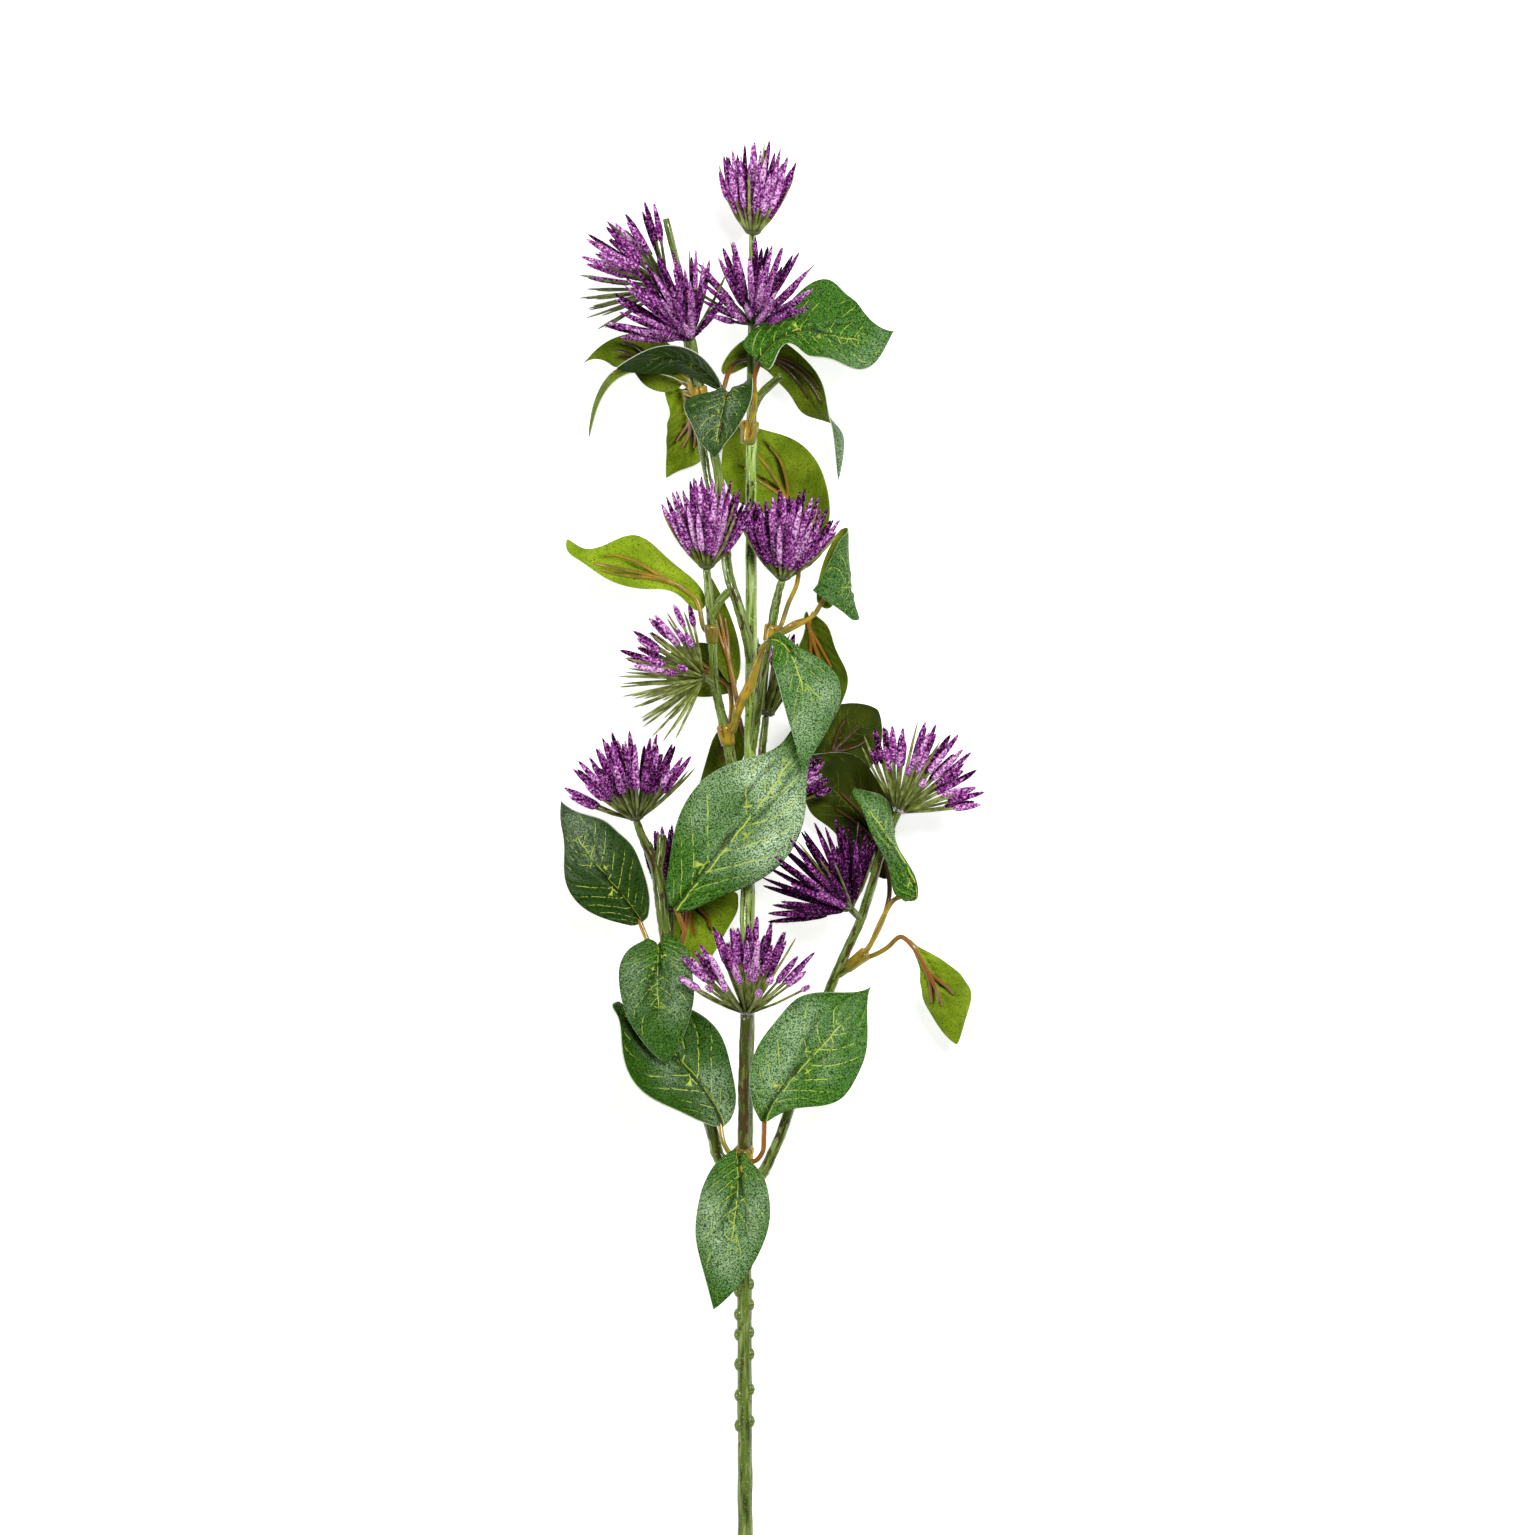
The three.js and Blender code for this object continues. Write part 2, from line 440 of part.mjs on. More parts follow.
// Two leaf scars of the handle, facing left and right: a squashed ball across the stem.
function knobPair(stem, y, grow) {
  const spine = spineOf(stem.path, 8);
  const nearest = spine.reduce((a, b) => (Math.abs(a.point.y - y) < Math.abs(b.point.y - y) ? a : b));
  const ball = new THREE.IcosahedronGeometry(1, 0);
  ball.scale(nearest.radius + 0.9 + grow, 2.6 + grow, 1.9 + grow);
  ball.translate(nearest.point.x, y, nearest.point.z + 0.6);
  return fromGeometry(ball);
}

function fromGeometry(geometry) {
  const bare = geometry.clone();
  bare.deleteAttribute('normal');
  bare.deleteAttribute('uv');
  const merged = BufferGeometryUtils.mergeVertices(bare, 1e-4);
  const mesh = new wasm.Mesh({
    numProp: 3,
    vertProperties: new Float32Array(merged.attributes.position.array),
    triVerts: new Uint32Array(merged.index.array),
  });
  return new wasm.Manifold(mesh);
}

// The width of the blade's left or right half along its midrib: t^base (1 - t)^tip, scaled, and made fuller by
// three round swellings.
const FULLER_AT = [0.2, 0.5, 0.8];
const FULLER_REACH = 0.17;

function halfWidth(leaf, t, s) {
  const [base, tip] = leaf.shape;
  const widest = base / (base + tip);
  const even = (t ** base * (1 - t) ** tip) / (widest ** base * (1 - widest) ** tip);
  const fuller = (leaf.full ?? [[], []])[s < 0 ? 0 : 1].reduce(
    (sum, share, i) => sum + share * Math.exp(-(((t - FULLER_AT[i]) / FULLER_REACH) ** 2)), 0);
  return leaf.half * even * (1 + fuller);
}

// Which way the right edge points at t: a curve through two or three directions.
function sideAt(side, t) {
  const first = new THREE.Vector3(...side[0]);
  const last = new THREE.Vector3(...side[side.length - 1]);
  const straight = first.clone().lerp(last, t);
  if (side.length === 2) return straight;
  const middle = new THREE.Vector3(...side[1]);
  const bulge = middle.sub(first.clone().add(last).multiplyScalar(0.5));
  return straight.addScaledVector(bulge, 4 * t * (1 - t));
}

// The blade's middle surface at t along the midrib and s across it, from -1 at the left edge to 1 at the right:
// each half is an arc with the leaf's curl, the edges wave, and the base's corners reach back as lobes.
function bladePoint(leaf, t, s) {
  const curve = new THREE.CubicBezierCurve3(...leaf.rib.map((p) => new THREE.Vector3(...p)));
  const along = curve.getTangent(t);
  const right = sideAt(leaf.side, t);
  right.addScaledVector(along, -right.dot(along)).normalize();
  const up = right.clone().cross(along);
  const width = halfWidth(leaf, t, s);
  const curl = leaf.curl[s < 0 ? 0 : 1];
  const [height, count, phase] = leaf.wave;
  const swing = Math.sin(2 * Math.PI * (count * t + phase) + (s < 0 ? 2 : 0));
  const wave = height * s * s * swing * Math.min(1, width / 6);
  return curve.getPoint(t)
    .addScaledVector(right, (width * Math.sin(curl * s)) / curl)
    .addScaledVector(up, (width * (1 - Math.cos(curl * s))) / Math.abs(curl) * Math.sign(curl) + wave)
    .addScaledVector(along, -leaf.lobe * s * s * Math.exp(-t / 0.12) * Math.min(1, t / 0.04));
}

// The surface's own normal on the top side.
function bladeNormal(leaf, t, s) {
  const step = 0.01;
  const place = THREE.MathUtils.clamp(t, 0.03, 0.97);
  const down = bladePoint(leaf, place + step, s).sub(bladePoint(leaf, place - step, s));
  const inside = THREE.MathUtils.clamp(s, step - 1, 1 - step);
  const over = bladePoint(leaf, place, inside + step).sub(bladePoint(leaf, place, inside - step));
  return over.cross(down).normalize();
}

// A leaf's blade: both faces of the middle surface, split alike, and the cut edge between them.
const BLADE_ROWS = [0.05, 0.16, 0.3, 0.45, 0.6, 0.75, 0.9];
const BLADE_LINES = [-1, -0.5, 0, 0.5, 1];

function bladeSolid(leaf, thickness = BLADE_THICKNESS) {
  const places = [[0, 0], ...BLADE_ROWS.flatMap((t) => BLADE_LINES.map((s) => [t, s])), [1, 0]];
  const faces = [1, -1].map((face) => places.map(([t, s]) => (
    bladePoint(leaf, t, s).addScaledVector(bladeNormal(leaf, t, s), (face * thickness) / 2)
  )));
  if (leaf.pressed) {
    const table = (BLADE_THICKNESS - thickness) / 2;
    places.forEach((_, i) => {
      const low = faces[0][i].z < faces[1][i].z ? faces[0][i] : faces[1][i];
      const high = low === faces[0][i] ? faces[1][i] : faces[0][i];
      low.z = Math.max(low.z, table);
      high.z = Math.max(high.z, low.z + thickness);
    });
  }
  const lines = BLADE_LINES.length;
  const at = (row, line) => 1 + row * lines + line;
  const end = places.length - 1;
  const top = [];
  for (let line = 0; line + 1 < lines; line += 1) {
    top.push([0, at(0, line + 1), at(0, line)]);
    for (let row = 0; row + 1 < BLADE_ROWS.length; row += 1) {
      const [a, b, c, d] = [at(row, line), at(row, line + 1), at(row + 1, line + 1), at(row + 1, line)];
      if (line < lines / 2 - 1) top.push([a, b, c], [a, c, d]);
      else top.push([a, b, d], [b, c, d]);
    }
    top.push([at(BLADE_ROWS.length - 1, line), at(BLADE_ROWS.length - 1, line + 1), end]);
  }
  const count = places.length;
  const bottom = top.map(([a, b, c]) => [a + count, c + count, b + count]);
  const rows = BLADE_ROWS.map((_, row) => row);
  const border = [
    0, ...rows.map((row) => at(row, lines - 1)), end, ...rows.reverse().map((row) => at(row, 0)),
  ];
  const rim = border.flatMap((a, i) => {
    const b = border[(i + 1) % border.length];
    return [[a, a + count, b + count], [a, b + count, b]];
  });
  return solidFrom([...faces[0], ...faces[1]], orient([...top, ...bottom, ...rim], [...faces[0], ...faces[1]]));
}

// Turns a closed triangle list inside out if it encloses a negative volume.
function orient(triangles, points) {
  const volume = triangles.reduce(
    (sum, [a, b, c]) => sum + points[a].dot(points[b].clone().cross(points[c])) / 6, 0);
  return volume > 0 ? triangles : triangles.map(([a, b, c]) => [a, c, b]);
}

// A rib under the blade, from the places t, s on it, at a gap from its lower face.
function ribSpine(leaf, places, thick, thin) {
  return places.map(([t, s], i) => {
    const radius = THREE.MathUtils.lerp(thick, thin, i / (places.length - 1));
    const drop = BLADE_THICKNESS / 2 + 2 * FIT_GAP + radius;
    const point = bladePoint(leaf, t, s).addScaledVector(bladeNormal(leaf, t, s), -drop);
    if (leaf.pressed) point.z = Math.max(point.z, BLADE_THICKNESS + FIT_GAP + radius);
    return { point, radius };
  });
}

const MID_RIB = [[0.05, 0], [0.28, 0], [0.52, 0]];
const SIDE_RIB = [[0.22, 0], [0.42, 0.38]];

// A petiole from the collar to the blade's base, running on as the middle rib, with two side ribs forking off.
function petioleSolid(leaf, start, via) {
  const rib = ribSpine(leaf, MID_RIB, PETIOLE_RADIUS * 0.9, RIB_TIP_RADIUS);
  const path = [start, ...via].map((p) => [...p, PETIOLE_RADIUS].slice(0, 4));
  const joined = [...path, ...rib.map(({ point, radius }) => [point.x, point.y, point.z, radius])];
  let solid = tube(spineOf(joined, 1), RIB_SIDES);
  for (const hand of leaf.ribs === 3 ? [-1, 1] : []) {
    const places = SIDE_RIB.map(([t, s]) => [t, s * hand]);
    solid = solid.add(tube(ribSpine(leaf, places, PETIOLE_RADIUS * 0.7, RIB_TIP_RADIUS), RIB_SIDES - 1));
  }
  return solid;
}

// The collar widens like a funnel towards the petioles.
const COLLAR_TAPER = [0.84, 0.98, 1.04];

function yokeSolid(yoke) {
  const [low, high] = yoke.collar;
  const middle = low.map((v, i) => (v + high[i]) / 2);
  let solid = tube([low, middle, high].map((p, i) => ({
    point: new THREE.Vector3(...p),
    radius: yoke.radius * COLLAR_TAPER[i],
  })), STEM_SIDES - 1);
  for (const [name, via] of Object.entries(yoke.petioles)) {
    solid = solid.add(petioleSolid(leaves[name], middle, via));
  }
  return solid;
}

// The centre of a head's disc, clear of the end of its stem at the head's own tilt.
function seatOf(head) {
  const [name, arm] = head.on;
  const path = arm === undefined ? stems[name].path : stems[name].arms[arm];
  const end = path[path.length - 1];
  const before = path[path.length - 2];
  const axis = new THREE.Vector3(...head.axis).normalize();
  const stalk = new THREE.Vector3(end[0] - before[0], end[1] - before[1], end[2] - before[2]).normalize();
  const clear = FIT_GAP + end[3] * Math.sin(stalk.angleTo(axis));
  return new THREE.Vector3(end[0], end[1], end[2]).addScaledVector(axis, clear);
}

// One needle of a head: where it roots in the disc, its bend and its tip.
function needleSpine(head, index) {
  const axis = new THREE.Vector3(...head.axis).normalize();
  const across = new THREE.Vector3(0, 0, 1).cross(axis).normalize().negate();
  const deep = axis.clone().cross(across);
  const share = (index + 0.5) / (head.needles ?? NEEDLES_LAID_OUT);
  const turn = index * GOLDEN_ANGLE + (head.turned ?? 0);
  const lean = share ** 0.55;
  const wobble = 0.06 * Math.sin(index * 12.9898);
  const radial = across.clone().multiplyScalar(Math.cos(turn)).addScaledVector(deep, Math.sin(turn));
  const wide = THREE.MathUtils.degToRad(head.across);
  const tall = THREE.MathUtils.degToRad(head.deep);
  const spread = Math.hypot(Math.cos(turn) * wide, Math.sin(turn) * tall) * (lean + wobble);
  const pull = (angle) => axis.clone().multiplyScalar(Math.cos(angle)).addScaledVector(radial, Math.sin(angle));
  const reach = head.reach * (1 - 0.2 * lean + 0.06 * Math.sin(index * 78.233));
  const root = seatOf(head)
    .addScaledVector(axis, DISC_HEIGHT * 0.45)
    .addScaledVector(radial, DISC_RADIUS * 0.7 * lean);
  const low = root.clone().addScaledVector(pull(spread * (1 + 0.5 * head.upright)), reach * 0.4);
  const tip = low.clone().addScaledVector(pull(spread * (1 - 0.5 * head.upright)), reach * 0.6);
  const curve = new THREE.QuadraticBezierCurve3(root, low, tip);
  return [
    { point: curve.getPoint(0), radius: STALK_RADIUS },
    { point: curve.getPoint(WIDEST_AT), radius: FLOCK_RADIUS },
    { point: curve.getPoint(1), radius: 0.12 },
  ];
}

function needleSolid(head, index) {
  const [root, widest, tip] = needleSpine(head, index);
  const along = tip.point.clone().sub(root.point).normalize();
  const across = new THREE.Vector3(0.31, 0.17, 0.94).cross(along).normalize();
  const up = along.clone().cross(across);
  const ring = ({ point, radius }) => [0, 1, 2].map((j) => {
    const angle = (2 * Math.PI * j) / 3 + index;
    return point.clone()
      .addScaledVector(across, Math.cos(angle) * radius)
      .addScaledVector(up, Math.sin(angle) * radius);
  });
  const points = [...ring(root), ...ring(widest), tip.point];
  const triangles = [[0, 2, 1]];
  for (let j = 0; j < 3; j += 1) {
    const k = (j + 1) % 3;
    triangles.push([j, k, k + 3], [j, k + 3, j + 3], [j + 3, k + 3, 6]);
  }
  return solidFrom(points, orient(triangles, points));
}

// A head: its disc, turned on a lathe and set across the axis, with the needles rooted in it.
function headSolid(head) {
  const profile = [
    new THREE.Vector2(0, 0),
    new THREE.Vector2(DISC_RADIUS * 0.6, 0),
    new THREE.Vector2(DISC_RADIUS, DISC_HEIGHT * 0.6),
    new THREE.Vector2(0, DISC_HEIGHT * 1.3),
  ];
  const disc = new THREE.LatheGeometry(profile, 7);
  const axis = new THREE.Vector3(...head.axis).normalize();
  disc.applyQuaternion(new THREE.Quaternion().setFromUnitVectors(new THREE.Vector3(0, 1, 0), axis));
  disc.translate(...seatOf(head).toArray());
  const pieces = [fromGeometry(disc)];
  for (let index = 0; index < (head.needles ?? NEEDLES_LAID_OUT); index += NEEDLE_STRIDE) {
    if (!(head.out ?? []).includes(index)) pieces.push(needleSolid(head, index));
  }
  return wasm.Manifold.union(pieces);
}

const finishes = {
  stem: new THREE.MeshStandardMaterial({ color: 0x5f7f34, roughness: 0.35, metalness: 0 }),
  petiole: new THREE.MeshStandardMaterial({ color: 0xb58f22, roughness: 0.35, metalness: 0 }),
  leaf: new THREE.MeshStandardMaterial({ color: 0x2f5f22, roughness: 0.55, metalness: 0 }),
  flower: new THREE.MeshStandardMaterial({ color: 0x93489b, roughness: 0.9, metalness: 0 }),
};

const spray = new THREE.Group();

function addPiece(name, solid, finish) {
  const { vertProperties, triVerts } = solid.getMesh();
  const geometry = new THREE.BufferGeometry();
  geometry.setAttribute('position', new THREE.BufferAttribute(vertProperties, 3));
  geometry.setIndex(new THREE.BufferAttribute(triVerts, 1));
  const mesh = new THREE.Mesh(geometry, finishes[finish]);
  mesh.name = name;
  spray.add(mesh);
}

const mainGrown = stemSolid(stems.main_stem, FIT_GAP);
for (const [name, stem] of Object.entries(stems)) {
  const solid = stemSolid(stem);
  addPiece(name, name === 'main_stem' ? solid : solid.subtract(mainGrown), 'stem');
}
for (const [name, yoke] of Object.entries(yokes)) {
  let solid = yokeSolid(yoke).subtract(stemSolid(stems[yoke.stem], FIT_GAP));
  if (yoke.stem !== 'main_stem') solid = solid.subtract(mainGrown);
  for (const own of Object.keys(yoke.petioles)) {
    solid = solid.subtract(bladeSolid(leaves[own], BLADE_THICKNESS + 2 * FIT_GAP));
  }
  addPiece(name, solid, 'petiole');
}
for (const [name, leaf] of Object.entries(leaves)) {
  addPiece(name, bladeSolid(leaf), 'leaf');
}
for (const [name, head] of Object.entries(heads)) {
  addPiece(name, headSolid(head), 'flower');
}

export default spray;
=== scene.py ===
"""The artificial centaurea stem dressed for its picture: lying on a white table, seen from above."""
import bpy
import numpy as np
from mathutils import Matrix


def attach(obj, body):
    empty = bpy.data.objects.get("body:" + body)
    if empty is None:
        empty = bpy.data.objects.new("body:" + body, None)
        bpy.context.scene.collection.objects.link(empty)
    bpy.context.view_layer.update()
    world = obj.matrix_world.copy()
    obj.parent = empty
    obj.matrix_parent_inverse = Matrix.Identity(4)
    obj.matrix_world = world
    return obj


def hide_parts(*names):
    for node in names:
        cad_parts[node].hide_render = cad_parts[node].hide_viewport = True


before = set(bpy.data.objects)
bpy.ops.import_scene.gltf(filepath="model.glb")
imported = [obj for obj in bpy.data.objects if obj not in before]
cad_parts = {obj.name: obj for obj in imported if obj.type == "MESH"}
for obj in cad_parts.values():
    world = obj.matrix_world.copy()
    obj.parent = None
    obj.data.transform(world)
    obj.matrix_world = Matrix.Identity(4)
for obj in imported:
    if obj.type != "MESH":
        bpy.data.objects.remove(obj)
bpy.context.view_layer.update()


def shown(name, data):
    """A new object, linked into the scene."""
    made = bpy.data.objects.new(name, data)
    bpy.context.scene.collection.objects.link(made)
    return made


# The camera hangs far above the spray and looks straight down through a long lens, so that the stem seems
# to stand upright in the picture, with its cut end on the lower edge.
eye = bpy.data.cameras.new("long_lens")
eye.lens, eye.sensor_width, eye.clip_start, eye.clip_end = 600, 36, 1, 60
camera = shown("long_lens", eye)
camera.location = (0.0002, 0.0605, 11.5425)
bpy.context.scene.camera = camera
bpy.context.scene.view_settings.view_transform = "Standard"


# Steps that the materials are made of.
def add(tree, kind, inputs=(), out=0, **settings):
    """A node of a material: its settings, and each input either a plain value or a link from another node."""
    made = tree.nodes.new("ShaderNode" + kind)
    for name, value in settings.items():
        setattr(made, name, value)
    for name, value in dict(inputs).items():
        if isinstance(value, bpy.types.NodeSocket):
            tree.links.new(value, made.inputs[name])
        else:
            made.inputs[name].default_value = value
    return made.outputs[out]


def mixed(tree, share, first, second):
    """The colour that goes from the first to the second as share goes from 0 to 1."""
    ends = [(*c, 1) if isinstance(c, tuple) else c for c in (first, second)]
    return add(tree, "Mix", {0: share, 6: ends[0], 7: ends[1]}, out=2, data_type="RGBA")


def graded(tree, value, low, high):
    """0 where value is low or less, 1 where it is high or more, and a smooth rise between."""
    return add(tree, "MapRange", {0: value, 1: low, 2: high}, interpolation_type="SMOOTHSTEP")


def grain(tree, where, scale, detail=2.0):
    """Cloudy noise from 0 to 1, its clouds 1 / scale metres wide."""
    return add(tree, "TexNoise", {"Vector": where, "Scale": scale, "Detail": detail})


def reckoned(tree, operation, *values):
    """One step of arithmetic on a material's values."""
    return add(tree, "Math", dict(enumerate(values)), operation=operation)


def times(tree, first, second):
    return reckoned(tree, "MULTIPLY", first, second)


def scaled(tree, value, by, plus):
    return reckoned(tree, "MULTIPLY_ADD", value, by, plus)


def placed(tree):
    """Where a point of the piece is, in metres."""
    return add(tree, "TexCoord", out=3)


def carried(tree, name, out=2):
    """What the mesh carries at each point under this name: a number, or with out=1 three of them."""
    return add(tree, "Attribute", attribute_name=name, out=out)


def embossed(tree, height, strength, depth, **below):
    """The shading of a relief up to depth metres deep. Normal is a relief that it is laid over."""
    return add(tree, "Bump", {"Height": height, "Strength": strength, "Distance": depth, **below})


def coated(name, paint, **sockets):
    """A material whose shader has the given plain sockets, and whose other sockets paint(tree) gives."""
    material = bpy.data.materials.new(name)
    material.use_nodes = True
    tree = material.node_tree
    shader = tree.nodes["Principled BSDF"]
    for socket, value in sockets.items():
        shader.inputs[socket.replace("_", " ").title().replace("Ior", "IOR")].default_value = value
    for socket, source in paint(tree).items():
        tree.links.new(source, shader.inputs[socket])
    return material


# The table is a wide white light board without a joint or grain. One soft box hangs over it, two weaker
# ones stand at its sides, and the room is dim. The lamps don't show in the picture.
def board_paint(tree):
    where = placed(tree)
    return {"Base Color": mixed(tree, grain(tree, where, 3), (0.9, 0.9, 0.9), (0.94, 0.94, 0.94))}


board_mesh = bpy.data.meshes.new("board")
board_mesh.from_pydata([(-30, -30, -0.0004), (30, -30, -0.0004), (30, 30, -0.0004), (-30, 30, -0.0004)], [],
                       [(0, 1, 2, 3)])
board_mesh.materials.append(coated("white_board", board_paint, roughness=0.9, emission_color=(1, 1, 1, 1),
                                   emission_strength=0.62))
board = shown("board", board_mesh)

for name, place, width, power in (
    ("soft_box_above", (0.45, 0.75, 2.4), 0.6, 52),
    ("soft_box_left", (-2.1, -0.2, 1.5), 0.7, 30),
    ("soft_box_right", (2.2, 0.6, 1.4), 0.6, 20),
):
    lamp = bpy.data.lights.new(name, "AREA")
    lamp.size, lamp.energy = width, power
    box = shown(name, lamp)
    box.location = place
    box.rotation_mode = "QUATERNION"
    box.rotation_quaternion = (-box.location).to_track_quat("-Z", "Y")
    box.visible_camera = False
room = bpy.data.worlds.new("room")
room.use_nodes = True
room.node_tree.nodes["Background"].inputs[0].default_value = (1, 1, 1, 1)
room.node_tree.nodes["Background"].inputs[1].default_value = 0.14
bpy.context.scene.world = room


# The stems are one moulding each, of green plastic with brown streaks: the handle with its leaf scars and
# the long leader, three branches on its fork, and side sprigs pushed onto pegs. The mould left a fine flash
# on both sides. Each path point is x, y, z, radius in millimetres. An arm is a peg or a side stem of the
# same moulding.
stems = {
    "main_stem": {
        "path": [
            [-9.9, -339.5, 3.5, 3.5], [-9.9, -290, 7.2, 3.35], [-10.1, -235, 13, 3.3],
            [-10.3, -180, 19.5, 3.3], [-10.4, -150, 24, 3.5], [-10.3, -128, 28, 3.9],
            [-9.6, -95, 30, 3.2], [-8.9, -40, 32, 3.3],
            [-8.9, 0, 34, 3.3], [-8.4, 40, 35.5, 2.9], [-7.4, 90, 37, 2.6], [-7.2, 150, 38.5, 2.5],
            [-7.1, 200, 40.5, 2.45], [-6.9, 235, 41.5, 2.2], [-6.8, 262, 42, 1.7], [-6.6, 299.6, 43.5, 1.5],
        ],
        "arms": [
            [[-6.9, 238, 42, 1.8], [-6.6, 249, 47, 1.8], [-6.1, 259.5, 54.5, 1.9]],
            [[-6.9, 219, 41, 1.7], [-3, 228, 43, 1.75], [6.2, 236.6, 44.5, 1.7]],
        ],
        "knobs": [-173.7, -183.6, -194.4, -206, -221, -235], "brown": 0.15, "pale": 0.3, "rise": 0.7,
    },
    "branch_front": {
        "path": [
            [-10.3, -128, 30, 2.5], [-10.4, -114, 39.5, 2.9], [-10.4, -90, 46, 2.7], [-10.2, -70, 50, 2.5],
            [-9.2, -50.8, 54, 2.9],
        ],
        "brown": 0.7, "pale": 0.02,
    },
    "branch_left": {
        "path": [
            [-10.3, -130, 27.5, 2.5], [-16.5, -121, 26.5, 2.7], [-22, -114, 27.5, 2.7],
            [-24.5, -104, 29.5, 2.6], [-33, -70, 33.5, 2.5], [-42, -35, 38, 2.45],
            [-46.4, -10, 41, 2.6], [-48, 5, 42, 2.7],
            [-50.6, 18, 43, 2.4], [-55.5, 28, 44, 1.9], [-58.6, 36.3, 45, 1.6],
        ],
        "arms": [
            [[-49.5, 13, 42.8, 1.9], [-47.8, 22, 44, 1.9], [-47.3, 30, 45, 1.7]],
            [[-42, -35, 38, 1.6], [-43.5, -18, 33, 1.6], [-43.5, -4.5, 29, 1.6]],
        ],
        "brown": 0.45, "pale": 0.3,
    },
    "branch_right": {
        "path": [
            [-10.3, -129, 27.5, 2.5], [-3, -123.5, 25, 2.6], [3.5, -111, 25, 2.4], [8.8, -97, 27, 2.3],
            [19, -65, 32, 2.2], [28, -40, 36, 2.3], [33, -28, 38, 2.2], [37.2, -19, 39.5, 2.1],
            [42, -8, 41, 2.1], [45.6, 3, 42.5, 2.1], [49.2, 15, 44, 1.9], [53.6, 28, 46, 1.8],
            [58.8, 40.3, 49, 1.7],
        ],
        "arms": [
            [[31.2, -33, 37.3, 1.8], [34.5, -31, 38.5, 2], [37.6, -28.8, 39.5, 2]],
            [[42.3, -7.5, 41.1, 1.5], [40, -5.5, 45.5, 1.5], [38.2, -3.6, 49.5, 1.6]],
        ],
        "brown": 0.5, "pale": 0.38,
    },
    "sprig_top_left": {
        "path": [
            [-7.4, 108, 38, 2.2], [-9.6, 121, 42.5, 2.3], [-13, 133, 44, 2.3], [-16.2, 143, 44.5, 2.3],
            [-18.4, 153, 44.5, 2.3], [-19.2, 170, 44.5, 2.2], [-22.3, 194, 46.5, 2.1], [-26.3, 212, 49.5, 2],
            [-29.4, 228, 52.3, 1.9], [-31.4, 240, 54, 1.9], [-33.8, 252.6, 56, 1.8],
        ],
        "arms": [
            [
                [-19.6, 172, 44.6, 1.7], [-25.5, 186, 42.5, 1.8], [-28.2, 200, 41.5, 1.8],
                [-31, 216, 41, 1.8],
                [-34, 235, 40, 1.8], [-36.4, 256, 40, 1.7], [-39, 280, 41, 1.6], [-45.4, 307, 42, 1.5],
            ],
            [[-38.4, 274, 40.7, 1.4], [-41, 275.6, 40.5, 1.5], [-44.5, 276.4, 40, 1.6]],
        ],
        "brown": 0.3, "pale": 0.45,
    },
    "sprig_mid_left": {
        "path": [
            [-8.7, 30, 35, 2.3], [-12, 46, 40, 2.4], [-16, 63, 43.5, 2.4], [-18.4, 76, 45.5, 2.4],
            [-21, 86, 47, 2.1], [-23.2, 97, 48.3, 1.9], [-24.2, 110, 51, 1.9], [-25.4, 128, 53.5, 1.9],
            [-26.4, 141, 55.2, 1.8], [-27.2, 149.4, 56.4, 1.7],
        ],
        "arms": [
            [[-25.2, 128, 53.5, 1.6], [-22, 133.8, 54, 1.7], [-17.3, 139.6, 54.8, 1.8]],
            [[-22.9, 96, 48.1, 1.3], [-25, 99, 50, 1.4], [-27.4, 100.6, 52.5, 1.5]],
        ],
        "brown": 0.2, "pale": 0.45,
    },
    "sprig_mid_right": {
        "path": [
            [-7.4, 66, 36.5, 1.8], [-5.4, 77, 40, 1.8], [-4, 89, 42.6, 1.8], [-2.4, 101, 44.5, 1.8],
            [-0.5, 112, 46, 1.85], [1.9, 122, 47.3, 1.9], [3.6, 132, 49.6, 1.9], [5.4, 140, 51.4, 1.7],
            [6.8, 144.4, 52.4, 1.6],
        ],
        "brown": 0.3, "pale": 0.45,
    },
    "sprig_back": {
        "path": [
            [-8.6, 22, 34.5, 1.8], [-5.2, 36, 27.5, 1.8], [-3, 55, 24.5, 1.8], [-2, 70, 25, 1.7],
            [-0.6, 83.2, 26.2, 1.5],
        ],
        "arms": [[[-5.4, 35, 27.8, 1.5], [-2.4, 39, 30, 1.5], [1.9, 42.7, 32.6, 1.5]]],
        "brown": 0.4, "pale": 0.28,
    },
}


def course(points, steps):
    """A smooth line through x, y, z, radius points: a cubic between each two, whose slope at a point is
    half the step from the point before it to the one after. The radius goes straight from one to the
    next."""
    p = np.asarray(points, float)
    held = np.vstack([2 * p[:1] - p[1:2], p, 2 * p[-1:] - p[-2:-1]])
    place = np.linspace(0, len(p) - 1, (len(p) - 1) * steps + 1)
    k = np.minimum(place.astype(int), len(p) - 2)
    f = (place - k)[:, None]
    a, b, c, d = held[k], held[k + 1], held[k + 2], held[k + 3]
    line = b + 0.5 * f * (c - a + f * (2 * a - 5 * b + 4 * c - d + f * (3 * (b - c) + d - a)))
    line[:, 3] = (b + (c - b) * f)[:, 3]
    return line


def unit(v):
    return v / np.maximum(np.linalg.norm(v, axis=-1, keepdims=True), 1e-9)


